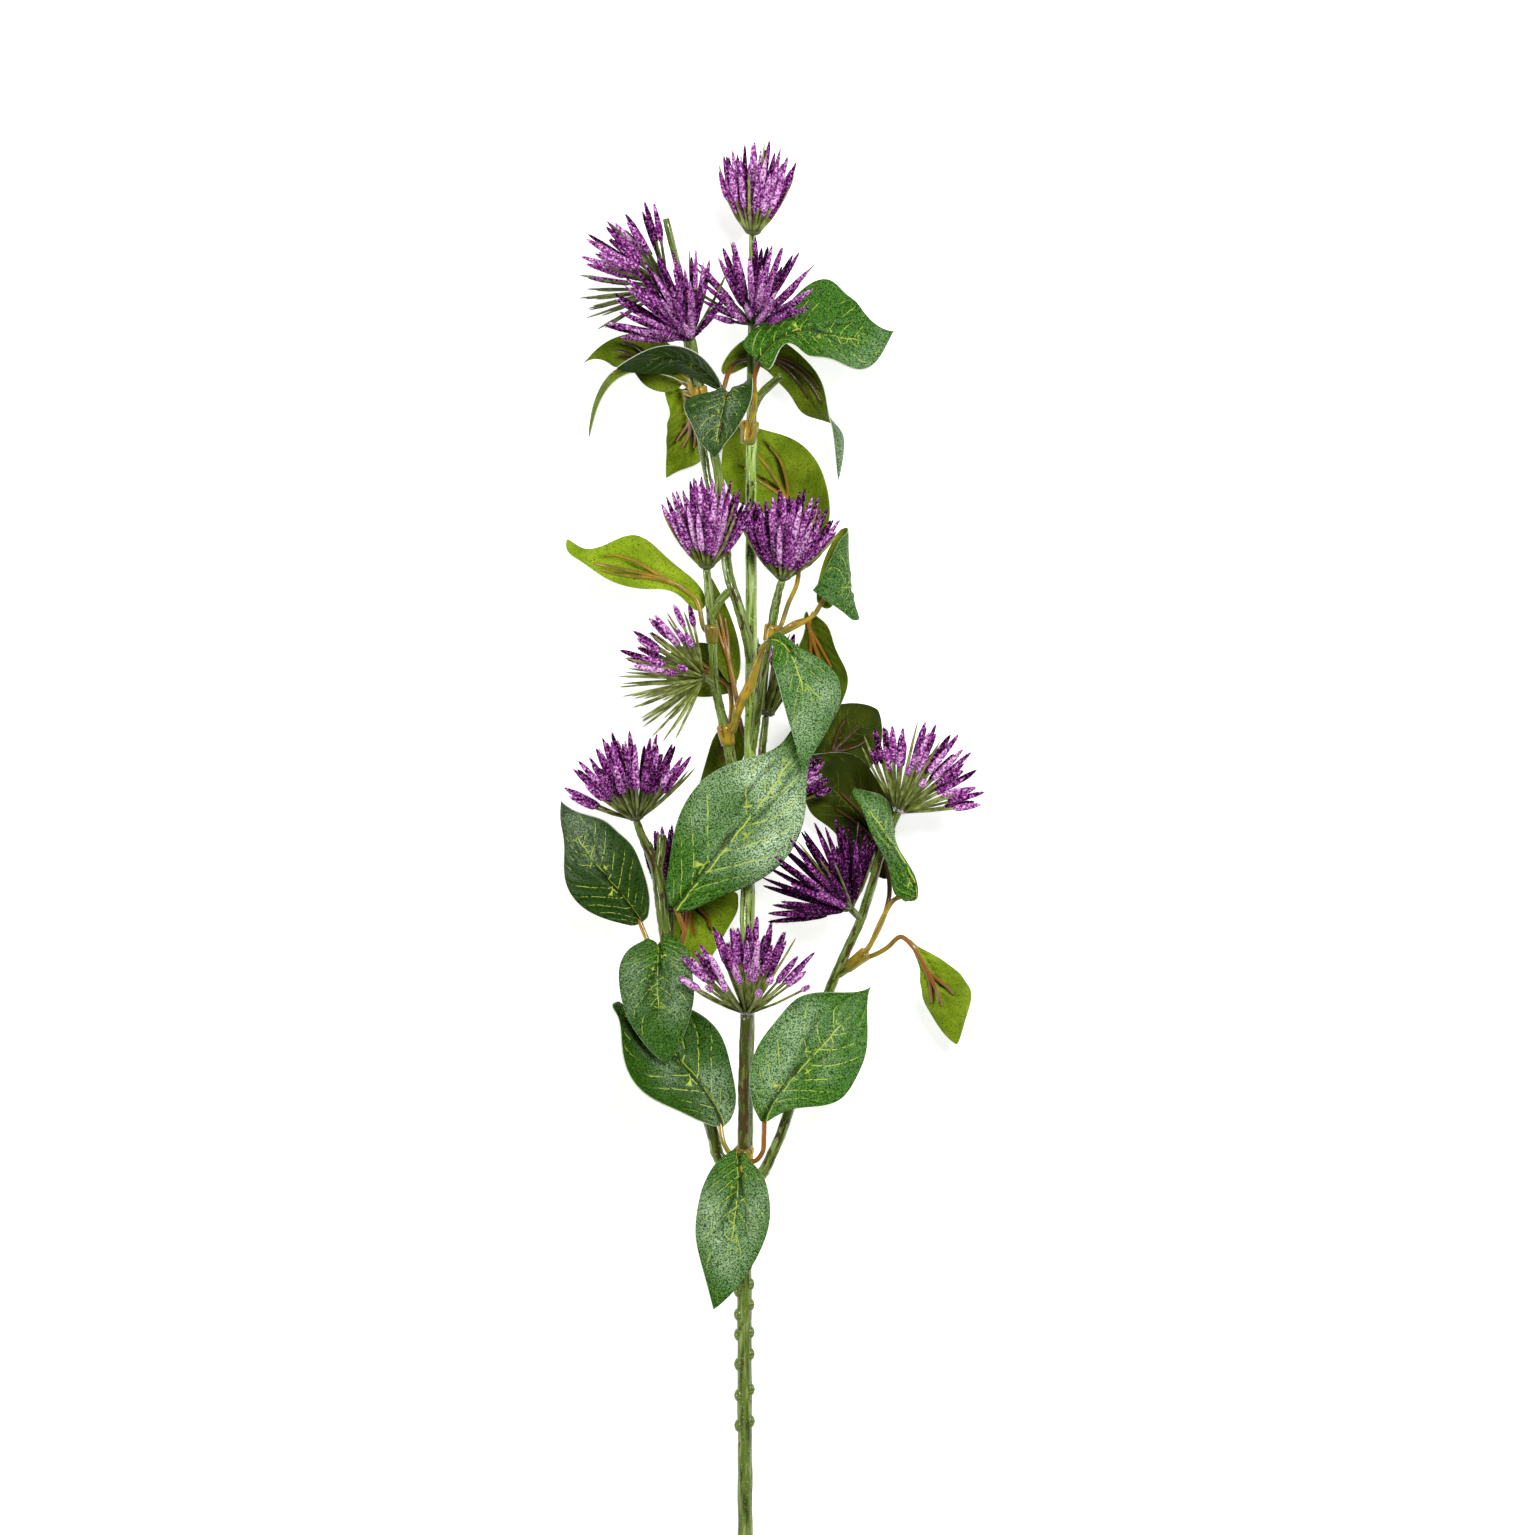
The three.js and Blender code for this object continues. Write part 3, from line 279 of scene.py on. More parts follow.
def framed(line):
    """Three directions at each point of a line: along it, across it (the way that the whole line turns to
    least, made square to it), and their cross product."""
    along = unit(np.gradient(line, axis=0))
    still = np.linalg.svd(along, full_matrices=False)[2][-1]
    still = still * np.sign(still[np.argmax(np.abs(still))])
    across = unit(still - (along @ still)[:, None] * along)
    return along, across, np.cross(along, across)


def ring_faces(rings, sides):
    """The faces of a bar whose corner j of ring i is number i * sides + j, and whose two end points come
    after the last ring: quads between the rings and triangles to the end points."""
    at = np.arange(rings * sides).reshape(rings, sides)
    after = np.roll(at, -1, 1)
    quads = np.stack([at[:-1], after[:-1], after[1:], at[1:]], -1).reshape(-1, 4)
    caps = np.concatenate([
        np.stack([np.full(sides, at.size), after[0], at[0]], -1),
        np.stack([np.full(sides, at.size + 1), at[-1], after[-1]], -1),
    ])
    return quads, caps


def rod(line, radius, sides, swell=1.0):
    """A closed round bar: corner j of ring i is the line's point plus its radius, times swell, on the
    bearing 2 pi j / sides between the two directions across the line. Two more rings break each end's edge,
    and a point closes it. Each corner also gets its lie: cosine and sine of the bearing, and millimetres
    along the line."""
    along, across, up = framed(line)
    turn = 2 * np.pi * np.arange(sides) / sides
    outward = (np.cos(turn)[:, None] * across[:, None] + np.sin(turn)[:, None] * up[:, None])
    rings = line[:, None] + outward * (radius[:, None] * swell)[..., None]
    run = np.r_[0, np.cumsum(np.linalg.norm(np.diff(line, axis=0), axis=1))]
    lie = np.stack([*np.broadcast_arrays(np.cos(turn), np.sin(turn), run[:, None])], -1)
    ends = []
    for i, way in ((0, -1), (-1, 1)):
        rim = line[i] + way * along[i] * radius[i] * 0.22 + (rings[i] - line[i]) * 0.78
        ends.append((rim[None], (line[i] + way * along[i] * radius[i] * 0.24)[None]))
    rings = np.concatenate([ends[0][0], rings, ends[1][0]])
    lie = np.concatenate([lie[:1], lie, lie[-1:]])
    quads, caps = ring_faces(len(rings), sides)
    points = np.concatenate([rings.reshape(-1, 3), ends[0][1], ends[1][1]])
    lies = np.concatenate([lie.reshape(-1, 3), [[0, 0, run[0]], [0, 0, run[-1]]]])
    return {"points": points, "quads": quads, "triangles": caps, "lie": lies}


def assembled(shapes):
    """Several closed shapes as one, their corners numbered on. Every per-corner and per-face list is kept."""
    starts = np.cumsum([0] + [len(s["points"]) for s in shapes[:-1]])
    kept = [key for key in shapes[0] if key not in ("quads", "triangles")]
    whole = {key: np.concatenate([s[key] for s in shapes]) for key in kept}
    for key in ("quads", "triangles"):
        whole[key] = np.concatenate([s[key] + start for s, start in zip(shapes, starts)])
    return whole


def piece(name, shape, materials, node, looks=None):
    """Puts a shape, given in millimetres, into a mesh in metres, smooth all over, and has it stand for its
    node."""
    faces = [shape["quads"], shape["triangles"]]
    corners = np.concatenate([f.ravel() for f in faces])
    starts = np.r_[0, np.cumsum(np.concatenate([np.full(len(f), f.shape[1]) for f in faces]))[:-1]]
    mesh = bpy.data.meshes.new(name)
    mesh.vertices.add(len(shape["points"]))
    resting = np.maximum(shape["points"], [-1e9, -1e9, 0]) / 1000
    mesh.vertices.foreach_set("co", resting.astype(np.float32).ravel())
    mesh.loops.add(len(corners))
    mesh.loops.foreach_set("vertex_index", corners.astype(np.int32))
    mesh.polygons.add(len(starts))
    mesh.polygons.foreach_set("loop_start", starts.astype(np.int32))
    for material in materials:
        mesh.materials.append(material)
    if looks is not None:
        mesh.polygons.foreach_set("material_index", looks.astype(np.int32))
    for key, kind in (("lie", "FLOAT_VECTOR"), ("tint", "FLOAT"), ("fold", "FLOAT"), ("painted_sheen", "FLOAT")):
        if key in shape:
            mesh.attributes.new(key, kind, "POINT").data.foreach_set(
                "vector" if kind == "FLOAT_VECTOR" else "value", shape[key].astype(np.float32).ravel())
    mesh.update(calc_edges=True)
    mesh.shade_smooth()
    made = shown(name, mesh)
    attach(made, "root")
    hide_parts(node)
    return made


def stem_paint(brown, base, rise):
    """Green plastic: dark and pale streaks that run along the stem, brown patches, worn specks and fine
    pits. It gets paler by its rise from 15 to 42 cm on."""
    def paint(tree):
        lie = carried(tree, "lie", 1)
        where = placed(tree)
        streak = grain(tree, add(tree, "Mapping", {0: lie, 3: (1.7, 1.7, 0.05)}), 1.5, 3)
        cloud = grain(tree, add(tree, "Mapping", {0: lie, 1: (7, 3, 0), 3: (0.9, 0.9, 0.16)}), 1.2, 3)
        height = add(tree, "SeparateXYZ", {0: lie}, out=2)
        pale = scaled(tree, graded(tree, height, 150, 420), rise, base)
        fresh = mixed(tree, pale, (0.045, 0.062, 0.002), (0.25, 0.40, 0.045))
        worn = mixed(tree, pale, (0.14, 0.17, 0.02), (0.55, 0.66, 0.30))
        green = mixed(tree, graded(tree, streak, 0.36, 0.50), (0.035, 0.050, 0.004), fresh)
        green = mixed(tree, graded(tree, streak, 0.54, 0.68), green, worn)
        green = mixed(tree, graded(tree, grain(tree, where, 1000), 0.60, 0.72), green, worn)
        patch = graded(tree, cloud, 0.66 - 0.22 * brown, 0.72 - 0.22 * brown)
        colour = mixed(tree, patch, green, (0.060, 0.036, 0.006))
        relief = embossed(tree, streak, 0.8, 0.0010)
        relief = embossed(tree, grain(tree, where, 700), 0.5, 0.0002, Normal=relief)
        return {"Base Color": colour, "Normal": relief}
    return paint


def stem_bar(points, steps, sides=18, seed=0):
    """One bar of a stem. The radius swells by a few hundredths in slow waves and in five blunt ridges, the
    mould's flash stands up as a sharp line on two opposite sides, and a few collars stand out at the
    moulding's joints."""
    line = course(points, steps)
    run = np.r_[0, np.cumsum(np.linalg.norm(np.diff(line[:, :3], axis=0), axis=1))]
    turn = 2 * np.pi * np.arange(sides) / sides
    wave = 0.035 * np.sin(run[:, None] * 0.31 + seed + 2 * np.cos(turn))
    wave = wave + 0.03 * np.sin(run[:, None] * 0.93 + 3 * np.sin(turn) + seed)
    wave = wave + 0.05 * np.cos(5 * turn + 0.5 * np.sin(run[:, None] * 0.12 + seed))
    flash = 0.10 * (0.6 + 0.4 * np.sin(run[:, None] * 1.7 + seed)) * (np.abs(np.sin(turn)) > 0.97)
    collar = np.exp(-((run[:, None] - 9 - seed) % 37 / 0.9) ** 2) * 0.13
    return rod(line[:, :3], line[:, 3], sides, 1 + wave + flash + collar)


def knob(x, y, z, wide, long, high):
    """A squashed ball, from a bar of no bend whose radius follows a half circle."""
    bearing = np.linspace(0.1, np.pi - 0.1, 9)
    line = np.stack([x - wide * np.cos(bearing), np.full(9, y), np.full(9, z)], -1)
    ball = rod(line, np.sin(bearing), 14)
    ball["points"] = (ball["points"] - [x, y, z]) * [1, long, high] + [x, y, z]
    return ball


for order, (name, stem) in enumerate(stems.items()):
    bars = [stem_bar(stem["path"], 10, seed=order)]
    bars += [stem_bar(arm, 8, seed=order + 3 * n + 1) for n, arm in enumerate(stem.get("arms", []))]
    spine = course(stem["path"], 12)
    for n, y in enumerate(stem.get("knobs", [])):
        at = spine[np.argmin(np.abs(spine[:, 1] - y))]
        for side in (-1, 1):
            up = y + side * (1.5 + np.sin(n * 2.4))
            bars.append(knob(at[0] + side * (at[3] - 0.9), up, at[2] + 0.6, 2.3, 3.1, 2.1))
        bars.append(knob(at[0] + 0.6 * np.sin(n * 5), y + 3.4, at[2] + at[3] - 1.1, 2.2, 1.6, 1.5))
    piece(name + "_moulding", assembled(bars),
          [coated(name + "_plastic", stem_paint(stem["brown"], stem["pale"], stem.get("rise", 0)),
                  roughness=0.5, specular_ior_level=0.15, coat_weight=0.6, coat_roughness=0.1)],
          name)


# The leaves are cut from a satin print: green above with yellow-green veins, olive and dull below, pale
# where they are cut. The plastic ribs glued under them press a groove and two pleats into the cloth.
# Each has the four points of its midrib, half its width, how round its base and its tip are, the ways that
# its right edge points, the curl of both halves, the edge's wave, how far the base's corners reach back,
# how much fuller its left and right halves are at a fifth, a half and four fifths of its length, and how
# deep the ribs press it.
leaves = {
    "leaf_01": {
        "rib": [[-4.5, 243.5, 61.5], [15, 272, 68], [35.5, 244, 66], [57, 256.5, 57]], "half": 18.5,
        "shape": [0.35, 1.05], "side": [[0.8, -0.6, 0.35], [0.1, -1, 0.4]], "curl": [0.1, 0.35],
        "wave": [1.2, 1.7, 0.2], "lobe": 4, "full": [[-0.5, 0.65, 1.15], [-0.75, 0, 1.2]],
    },
    "leaf_02": {
        "rib": [[-20, 237, 46], [-1.5, 258, 17], [34.5, 236.5, 32], [32, 190, 34]], "half": 9,
        "shape": [0.65, 0.9], "side": [[-0.8, 0.5, 0.1], [0.5, 0.8, 0.1], [-1.2, -1.3, 1]],
        "curl": [-0.3, -0.3], "wave": [1, 1, 0.5],
        "full": [[-0.55, 0.1, 1.2], [0.35, -0.25, -0.75]],
    },
    "leaf_03": {
        "rib": [[-21, 230.5, 58], [-36.5, 249.5, 67], [-43.5, 244.5, 68], [-67.5, 239.5, 58]], "half": 9.5,
        "shape": [0.6, 0.75], "side": [[0.3, 0.3, 0.6], [0.2, 0.7, 0.65]], "curl": [0.2, 0.2],
        "wave": [0.8, 1.2, 0],
    },
    "leaf_04": {
        "rib": [[-37, 235, 46], [-53, 237.5, 40], [-65, 258.5, 38], [-83, 242, 34]], "half": 11.5,
        "shape": [0.7, 1.55], "side": [[-0.6, -0.75, -0.2], [-0.5, -0.85, -0.1]], "curl": [0.2, 0.2],
        "wave": [0.8, 1, 0.3], "full": [[0.05, 0.15, 0], [-0.1, -0.4, 0.65]],
    },
    "leaf_05": {
        "rib": [[-36.5, 232.5, 54], [-36, 237, 52.5], [-76.5, 259, 50.5], [-80, 209, 43]], "half": 9,
        "shape": [1.15, 0.7], "side": [[0.05, -0.3, 0.95], [0.2, -0.15, 0.97]], "curl": [0.25, 0.25],
        "wave": [0.5, 1, 0],
    },
    "leaf_06": {
        "rib": [[-37.5, 231, 34], [-30.5, 208.5, 23], [-36, 213, 4], [-45.5, 191, 0.5]], "half": 14.5,
        "shape": [0.4, 0.95], "side": [[1, -0.1, 0], [1, -0.35, 0]], "curl": [-0.35, -0.35],
        "wave": [0.8, 1.5, 0.4], "lobe": 13, "full": [[-0.35, -0.2, -0.15], [-0.55, -0.2, 0.35]],
    },
    "leaf_07": {
        "rib": [[-17, 229, 64], [-17, 235.5, 73], [-23, 203, 78], [-23.5, 200, 74]], "half": 14.5,
        "shape": [0.35, 1.15], "side": [[-0.97, -0.3, 0], [-1, -0.1, 0]], "curl": [0.4, 0.4],
        "wave": [0.6, 1, 0], "lobe": 6, "full": [[-0.15, -0.15, -0.35], [-0.75, 0.55, 0.55]],
    },
    "leaf_08": {
        "rib": [[14, 160, 33], [11.5, 186.5, 19], [-4.5, 204.5, 12], [-19, 214, 6]], "half": 21,
        "shape": [0.35, 0.75], "side": [[-0.9, -0.4, 0], [-0.7, -0.7, 0]], "curl": [-0.35, -0.35],
        "wave": [1.2, 1.3, 0.1], "lobe": 2, "full": [[-0.05, 0, -0.25], [-0.5, 0.1, 0.3]],
    },
    "leaf_09": {
        "rib": [[-29.5, 131.5, 46.5], [-41, 155.5, 51], [-87, 143.5, 46], [-90, 163, 30]], "half": 8,
        "shape": [0.4, 0.65], "side": [[-0.6, -0.8, 0], [-0.15, -1, 0.3]], "curl": [0.3, 0.3],
        "wave": [3, 1.4, 0.6], "full": [[-0.1, 1.2, 0], [-0.5, -0.15, -0.75]],
    },
    "leaf_10": {
        "rib": [[22.5, 135, 51], [43.5, 142, 45], [43.5, 141, 62], [20.5, 140, 60]], "half": 21,
        "shape": [0.7, 1], "side": [[-0.15, 0.99, 0], [-0.15, 0.99, 0]], "curl": [0.1, 0.1],
        "wave": [0, 1, 0], "full": [[-0.95, -0.25, -0.2], [0.1, 0.35, 0.6]], "press": 0.3,
    },
    "leaf_11": {
        "rib": [[18.5, 128, 48], [17, 124, 47], [27, 105, 37], [29, 82, 30]], "half": 9.5,
        "shape": [0.95, 0.85], "side": [[0.95, 0.3, 0], [0.98, 0.15, 0]], "curl": [-0.3, -0.3],
        "wave": [1, 1.4, 0.2], "lobe": 5, "full": [[-0.75, 0, 0], [0.2, -0.1, 0.4]],
    },
    "leaf_12": {
        "rib": [[-4, 110, 54], [-2, 130, 72], [26, 118.5, 84], [15.5, 59, 66]], "half": 10,
        "shape": [1.5, 0.9], "side": [[-1, -0.1, 0], [-0.5, -0.86, 0.1], [-0.95, 0.3, 0.1]],
        "curl": [-0.5, 0.2], "wave": [1, 1.3, 0.4],
        "full": [[-0.75, -0.75, 1.2], [-0.75, 0.1, 0.3]],
    },
    "leaf_13": {
        "rib": [[22.5, 62, 12], [31, 68, 7], [40, 78, -3], [50, 86.5, -3]], "half": 17, "shape": [0.5, 0.7],
        "side": [[-0.7, 0.72, 0], [-0.7, 0.72, 0]], "curl": [-0.15, -0.15], "wave": [0, 1, 0],
    },
    "leaf_14": {
        "rib": [[55, 10.5, 32], [53, 31, 26], [38, 48, 21], [14, 64, 20]], "half": 14.5,
        "shape": [0.5, 0.65], "side": [[-0.95, -0.3, 0.05], [-0.6, -0.8, 0.05]], "curl": [-0.15, -0.15],
        "wave": [0.8, 1.4, 0.1], "full": [[-0.5, 0, 0.6], [0, 0, 0.45]],
    },
    "leaf_15": {
        "rib": [[62.5, 1, 54], [79.5, -3, 60], [40, 45, 62], [39, 51.5, 60]], "half": 11,
        "shape": [1.5, 1.3], "side": [[1, 0.1, -0.1], [0.72, 0.68, -0.1]], "curl": [-0.2, -1.5],
        "wave": [0.6, 1, 0.5], "lobe": 5, "full": [[0.45, -0.5, -0.75], [-0.7, -0.75, 1.2]],
    },
    "leaf_16": {
        "rib": [[64, -17, 46], [78, -40, 47], [74.5, -36.5, 36], [85.5, -64, 22]], "half": 11,
        "shape": [1.05, 0.75], "side": [[0.9, 0.42, 0.1], [0.9, 0.3, -0.1]], "curl": [1.1, 0.5],
        "wave": [0.6, 1.2, 0.3], "full": [[-0.45, -0.3, -0.2], [0.2, 0.2, 0.55]],
    },
    "leaf_17": {
        "rib": [[-42, -2.5, 50], [-39.5, 1, 54], [19, 71, 67], [16, 80, 54]], "half": 28.5,
        "shape": [1.2, 1.2], "side": [[0.85, -0.5, 0.05], [0.84, -0.52, -0.1]], "curl": [0.15, -0.25],
        "wave": [1.4, 1.4, 0.3], "lobe": 1, "full": [[-0.25, -0.05, -0.65], [-0.35, -0.05, -0.45]],
    },
    "leaf_18": {
        "rib": [[-57, -9.5, 38], [-68, 9.5, 46], [-86, 19, 46], [-92.5, 45.5, 38]], "half": 17,
        "shape": [0.8, 1.1], "side": [[0.84, 0.5, 0.2], [0.8, 0.5, 0.35]], "curl": [0.2, 0.3],
        "wave": [1.2, 1.2, 0.2], "lobe": 2, "full": [[0, 0, -0.45], [0, 0.2, 0.6]],
    },
    "leaf_19": {
        "rib": [[-48.5, -18.5, 53], [-46.5, -22, 56], [-51, -32.5, 62], [-45, -71.5, 54]], "half": 17.5,
        "shape": [0.7, 0.65], "side": [[-1, 0, 0], [-1, -0.05, 0]], "curl": [0.2, 0.2],
        "wave": [0.8, 1.2, 0], "lobe": 6, "full": [[-0.1, -0.15, 0], [0, 0.05, 0.1]],
    },
    "leaf_20": {
        "rib": [[-20.5, -101.5, 43], [-23.5, -79, 50], [-72.5, -44, 48], [-68, -45.5, 40]], "half": 28,
        "shape": [1.1, 1.6], "side": [[0.8, 0.6, 0], [0.76, 0.65, 0]], "curl": [1.2, 0.2],
        "wave": [1.2, 1.3, 0.4], "lobe": 1, "full": [[-0.2, 0, -0.6], [-0.3, -0.15, -0.75]],
    },
    "leaf_21": {
        "rib": [[-2, -99.5, 46], [1, -84.5, 54], [29, -59.5, 58], [47, -37.5, 48]], "half": 21,
        "shape": [1.45, 1.6], "side": [[0.9, -0.5, 0], [0.78, -0.62, 0]], "curl": [0.2, 0.3],
        "wave": [1.4, 1.5, 0.7], "lobe": 1, "full": [[0, 0, 0.6], [-0.35, 0.15, 0.4]],
    },
    "leaf_22": {
        "rib": [[-12.5, -114, 49], [-13.5, -112.5, 52], [-6.5, -135.5, 57], [-24, -183, 48]], "half": 16.5,
        "shape": [1.5, 0.95], "side": [[-1, 0.05, 0], [-0.97, 0.2, 0]], "curl": [0.2, 0.2],
        "wave": [0.8, 1.4, 0.2], "lobe": 7, "full": [[-0.4, -0.15, -0.1], [0.35, 0.1, 0.2]],
    },
    "leaf_23": {
        "rib": [[-12, 84, 24], [-19, 71.5, 22], [-12, 74, 14], [-31, 44, 9]], "half": 8,
        "shape": [0.75, 0.6], "side": [[0.85, -0.5, 0], [0.85, -0.5, 0]], "curl": [-0.3, -0.3],
        "wave": [0.6, 1.2, 0],
    },
    "leaf_24": {
        "rib": [[-36.5, 7, 20], [-36, 1.5, 18], [-33.5, -11.5, 16], [-29.5, -31.5, 14]], "half": 19,
        "shape": [0.7, 0.95], "side": [[1, 0, 0], [1, 0.05, 0]], "curl": [-0.3, -0.3],
        "wave": [0.6, 1.2, 0.5], "full": [[-0.5, -0.4, -0.35], [0.35, 0.15, 0]],
    },
    "leaf_25": {
        "rib": [[-15.5, 95, 32], [-25, 106, 29], [-38, 108, 25], [-51, 103, 19]], "half": 12.5,
        "shape": [0.66, 1], "side": [[-0.7, -0.7, 0], [-0.2, -1, 0]], "curl": [-0.3, -0.3],
        "wave": [0.6, 1.2, 0.2],
    },
    "leaf_26": {
        "rib": [[-15, 98, 40], [-18, 112, 40], [-21, 128, 40], [-25, 146, 41]], "half": 6,
        "shape": [0.66, 1], "side": [[-1, -0.2, 0], [-0.9, -0.4, 0]], "curl": [-0.3, -0.3],
        "wave": [0.4, 1.2, 0.2],
    },
}
# How light each leaf's cloth is, from 0 for the dullest to 1 for the brightest. Mostly the cloth's own
# tone; leaf_13 and leaf_14, lying low under the others, are set to 0 as painted shade.
leaf_tone_and_shade = {
    "leaf_01": 0.8, "leaf_02": 0.34, "leaf_03": 0, "leaf_04": 0.36, "leaf_05": 0.36, "leaf_06": 0.85,
    "leaf_07": 0.2, "leaf_08": 0.55, "leaf_09": 1, "leaf_10": 0.6, "leaf_11": 0.16, "leaf_12": 0.85,
    "leaf_13": 0, "leaf_14": 0, "leaf_15": 0.75, "leaf_16": 0.78, "leaf_17": 0.7, "leaf_18": 0.12,
    "leaf_19": 0.5, "leaf_20": 0.42, "leaf_21": 0.85, "leaf_22": 0.7, "leaf_23": 0.2, "leaf_24": 0.7,
    "leaf_25": 0.2, "leaf_26": 0.25,
}
# Painted sheen: strokes of pale, speckled colour that stand for the light that the satin catches. Each has
# both ends of its stroke, how far it reaches to its sides, and how strong it is.
painted_sheen_strokes = {
    "leaf_17": [
        [-6, 60, 14, 42, 12, 1.3], [14, 42, -2, 20, 12, 1.3], [-30, 38, -20, 56, 9, 0.6],
        [-20, 20, -8, 40, 9, 0.5],
    ],
    "leaf_22": [[-26, -140, -16, -162, 9, 0.8], [-4, -132, -8, -150, 7, 0.5]],
    "leaf_21": [[1, -82, 15, -50, 9, 0.7], [30, -60, 26, -76, 5, 0.35]],
    "leaf_20": [[-24, -80, -19, -97, 7, 0.6], [-50, -62, -44, -80, 5, 0.3]],
    "leaf_19": [[-38, -28, -42, -50, 6, 0.4], [-60, -30, -60, -44, 6, 0.3]],
    "leaf_18": [[-86, 38, -78, 22, 7, 0.4]],
    "leaf_12": [[12, 74, 25, 92, 10, 0.75], [8, 100, 20, 110, 6, 0.3]],
    "leaf_15": [[49, 44, 58, 24, 5, 0.35]], "leaf_10": [[36, 156, 38, 138, 5, 0.15]],
    "leaf_01": [[52, 250, 38, 240, 9, 0.3]], "leaf_07": [[-26, 214, -18, 224, 6, 0.35]],
    "leaf_02": [[33, 206, 34, 190, 5, 0.5]],
}


def half_width(leaf, t, s):
    """Width of one half of the blade at t along the midrib: t to the power of base times 1 - t to that of
    tip, scaled to the leaf's own half width, and the half of sign s fuller by three round swellings."""
    base, tip = leaf["shape"]
    widest = base / (base + tip)
    t = np.clip(t, 0, 1)
    even = leaf["half"] * t ** base * (1 - t) ** tip / (widest ** base * (1 - widest) ** tip)
    left, right = np.array(leaf.get("full", [[0, 0, 0], [0, 0, 0]]), float)
    swelling = np.exp(-((t[..., None] - [0.2, 0.5, 0.8]) / 0.17) ** 2)
    return even * (1 + np.where(s < 0, swelling @ left, swelling @ right))


def blade(leaf, t, s):
    """The blade's middle surface at t along the midrib and s across it, from -1 to 1: the midrib's Bezier
    point, an arc to each side whose bend is the curl, the edge's wave, and the base corners drawn back as
    lobes."""
    t, s = np.broadcast_arrays(np.asarray(t, float), np.asarray(s, float))
    q = np.clip(t, 0, 1)[..., None]
    a, b, c, d = np.asarray(leaf["rib"], float)
    middle = (1 - q) ** 3 * a + 3 * (1 - q) ** 2 * q * b + 3 * (1 - q) * q ** 2 * c + q ** 3 * d
    along = unit((1 - q) ** 2 * (b - a) + 2 * (1 - q) * q * (c - b) + q ** 2 * (d - c))
    side = np.asarray(leaf["side"], float)
    right = side[0] + (side[-1] - side[0]) * q
    if len(side) == 3:
        right = right + (side[1] - (side[0] + side[2]) / 2) * 4 * q * (1 - q)
    right = unit(right - np.sum(right * along, -1, keepdims=True) * along)
    up = np.cross(right, along)
    width = half_width(leaf, t, s)
    curl = np.where(s < 0, *leaf["curl"])
    height, count, phase = leaf["wave"]
    swing = np.sin(2 * np.pi * (count * t + phase) + np.where(s < 0, 2, 0))
    wave = height * s ** 2 * swing * np.minimum(1, width / 6)
    back = leaf.get("lobe", 0) * s ** 2 * np.exp(-t / 0.12) * np.minimum(1, t / 0.04)
    out = width * np.sin(curl * s) / curl
    rise = width * (1 - np.cos(curl * s)) / np.abs(curl) * np.sign(curl) + wave
    return middle + right * out[..., None] + up * rise[..., None] - along * back[..., None]


def blade_normal(leaf, t, s):
    """The printed side's own direction: the step across the surface, crossed with the step along it."""
    t, s = np.broadcast_arrays(np.clip(t, 0.03, 0.97), np.clip(s, -0.99, 0.99))
    over = blade(leaf, t, s + 0.01) - blade(leaf, t, s - 0.01)
    down = blade(leaf, t + 0.01, s) - blade(leaf, t - 0.01, s)
    return unit(np.cross(over, down))


def pressed_relief(leaf, t, s):
    """Millimetres that the cloth stands out: a groove along the midrib between two soft shoulders, a pleat
    with a crease beside it that leaves the midrib on each side at a third of the leaf, and low cushions
    between the veins."""
    width = half_width(leaf, t, s)
    off = np.abs(s) * width
    scale = min(1, leaf["half"] / 16) * leaf.get("press", 1)
    groove = -1.3 * np.exp(-(off / 0.9) ** 2) + 0.7 * np.exp(-((off - 2.4) / 1.3) ** 2)
    fork = 0.52 * np.clip((t - 0.3) / 0.42, 0, 1) ** 1.15
    beside = (np.abs(s) - fork) * width
    held = np.clip((t - 0.32) / 0.08, 0, 1) * np.clip((0.78 - t) / 0.14, 0, 1)
    pleat = 1.1 * np.exp(-(beside / 1.1) ** 2) - 1.3 * np.exp(-((beside + 2.1) / 0.9) ** 2)
    cushion = 0.22 * np.cos(2 * np.pi * (t - 0.26 * np.abs(s) ** 1.2) / 0.115) * np.minimum(1, off / 3)
    edge = np.clip((1 - np.abs(s)) / 0.15, 0, 1)
    return scale * (groove * np.clip((0.72 - t) / 0.3, 0, 1) + pleat * held + cushion * edge)


